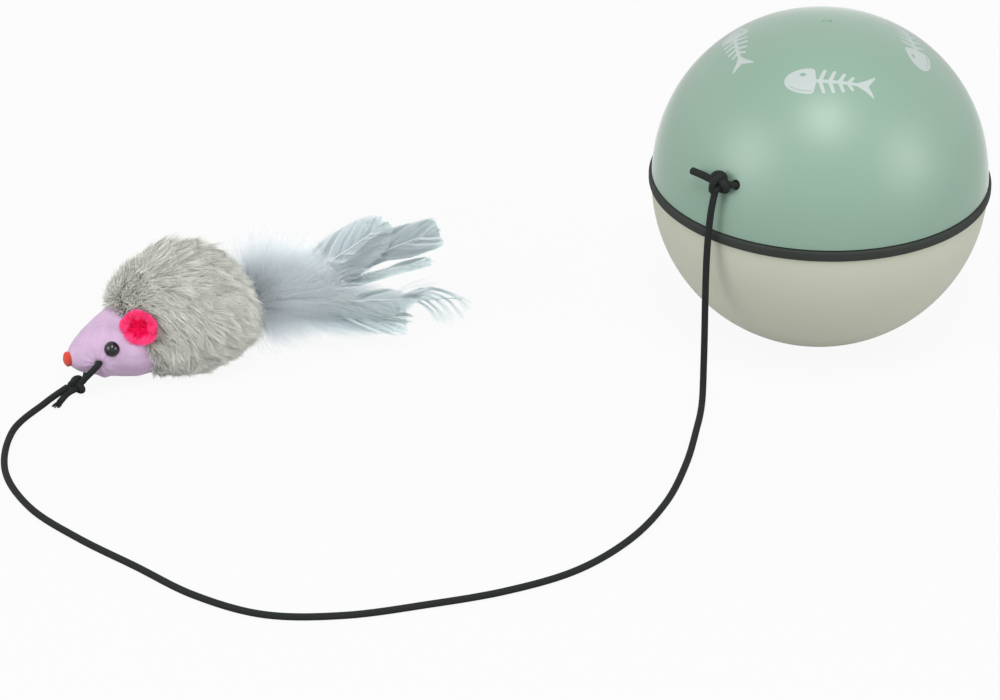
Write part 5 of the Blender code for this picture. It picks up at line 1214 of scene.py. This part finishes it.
down_widths = np.broadcast_to(np.linspace(0.18, 0.05, down_steps) * mm, down_paths.shape[:2])
away = np.clip(0.1 + 0.5 * share + 0.5 * place[:, None], 0, 1)
ribbons("loose_down", to_world(down_paths), down_normals, down_widths,
        draw.uniform(0, 1, down_count), away, down_look)

# %% [markdown]
# ## The pieces inside
#
# The drive unit stays as it was packed, and each piece only gets its finish: glass filled nylon
# for the frame, smooth acetal for the gears, drawn and turned steel, porous bronze for the
# bushes, and a printed film jacket without any words on the cell.

# %% Finishes for the drive unit
inside_looks = {
    "frame_plastic": grained("frame_nylon", (0.70, 0.71, 0.69), 0.50, grain=0.25, patch=0.06),
    "gear_plastic": grained("gear_acetal", (0.72, 0.71, 0.66), 0.35, patch=0.04),
    "steel": grained("drawn_steel", (0.56, 0.56, 0.55), 0.32, grain=0.3, patch=0.12,
                     metallic=1.0, grain_scale=2500.0),
    "bronze": grained("porous_bronze", (0.46, 0.27, 0.12), 0.45, grain=0.35, patch=0.2,
                      metallic=1.0, depth=0.05, grain_scale=3500.0),
    "contact": grained("plated_contact", (0.68, 0.66, 0.60), 0.25, grain=0.2, patch=0.08,
                       metallic=1.0),
    "jacket": grained("film_jacket", (0.10, 0.12, 0.14), 0.3, patch=0.08),
    "dark_plastic": grained("dark_nylon", (0.030, 0.031, 0.033), 0.5, grain=0.25, patch=0.2),
    "cord_elastic": elastic,
}
for name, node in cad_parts.items():
    old = [material.name.split(".")[0] for material in node.data.materials if material]
    if old and old[0] in inside_looks:
        node.data.materials.clear()
        node.data.materials.append(inside_looks[old[0]])
print("finishes for the drive unit:", len(inside_looks))

# %% [markdown]
# ## Floor, light and background
#
# The photograph is a studio shot on white, with three soft lights whose reflections lie on the
# ball. The floor shows white to the camera and still takes a faint shadow.


# %% Floor
def rays(tree, *kinds):
    """1 for the rays of these kinds, and 0 for all others."""
    path = tree.nodes.new("ShaderNodeLightPath")
    level = path.outputs[kinds[0]]
    for kind in kinds[1:]:
        level = math_node(tree, "MAXIMUM", level, path.outputs[kind])
    return level


floor_look, floor_tree, floor_shader = principled("white_floor", {
    "Base Color": (0.58, 0.58, 0.58, 1), "Roughness": 0.9})
floor_glow = floor_tree.nodes.new("ShaderNodeEmission")
floor_glow.inputs["Color"].default_value = (1, 1, 1, 1)
floor_seen = rays(floor_tree, "Is Camera Ray", "Is Transmission Ray")
floor_mix = floor_tree.nodes.new("ShaderNodeMixShader")
floor_tree.links.new(math_node(floor_tree, "MULTIPLY", floor_seen, 0.92), floor_mix.inputs["Fac"])
floor_tree.links.new(floor_shader.outputs[0], floor_mix.inputs[1])
floor_tree.links.new(floor_glow.outputs[0], floor_mix.inputs[2])
floor_out = next(node for node in floor_tree.nodes if node.type == "OUTPUT_MATERIAL")
floor_tree.links.new(floor_mix.outputs[0], floor_out.inputs["Surface"])
floor_mesh = bpy.data.meshes.new("floor")
floor_mesh.from_pydata([(-4, -4, 0), (4, -4, 0), (4, 4, 0), (-4, 4, 0)], [], [(0, 1, 2, 3)])
floor = bpy.data.objects.new("floor", floor_mesh)
floor.location = (0, 0, -0.05 * mm)
floor_mesh.materials.append(floor_look)
bpy.context.scene.collection.objects.link(floor)


# %% Lamps
def softbox(name, azimuth, elevation, size, watts, distance=1.3):
    """An area lamp that looks at the ball; azimuth turns from the viewer's side to the right."""
    way = facing(math.radians(azimuth), math.radians(elevation))
    data = bpy.data.lights.new(name, "AREA")
    data.shape = "DISK"
    data.size = size
    data.energy = watts
    lamp = bpy.data.objects.new(name, data)
    lamp.location = centre + way * distance
    lamp.rotation_euler = way.to_track_quat("Z", "Y").to_euler()
    bpy.context.scene.collection.objects.link(lamp)


softbox("top_softbox", -1, 64, 0.55, 6.5)
softbox("left_softbox", -63, 26, 0.75, 5.4)
softbox("right_softbox", 62, 23, 0.75, 5.2)

# %% World
world = bpy.data.worlds.new("studio")
bpy.context.scene.world = world
world.use_nodes = True
world_tree = world.node_tree
world_back = world_tree.nodes["Background"]
world_seen = rays(world_tree, "Is Camera Ray", "Is Transmission Ray", "Is Glossy Ray")
# full white to the camera and in reflections, and about half of it as light on the object
world_level = math_node(world_tree, "MULTIPLY_ADD", world_seen, 0.48, 0.52)
world_tree.links.new(world_level, world_back.inputs["Strength"])
world_back.inputs["Color"].default_value = (1, 1, 1, 1)
bpy.context.scene.view_settings.view_transform = "Standard"
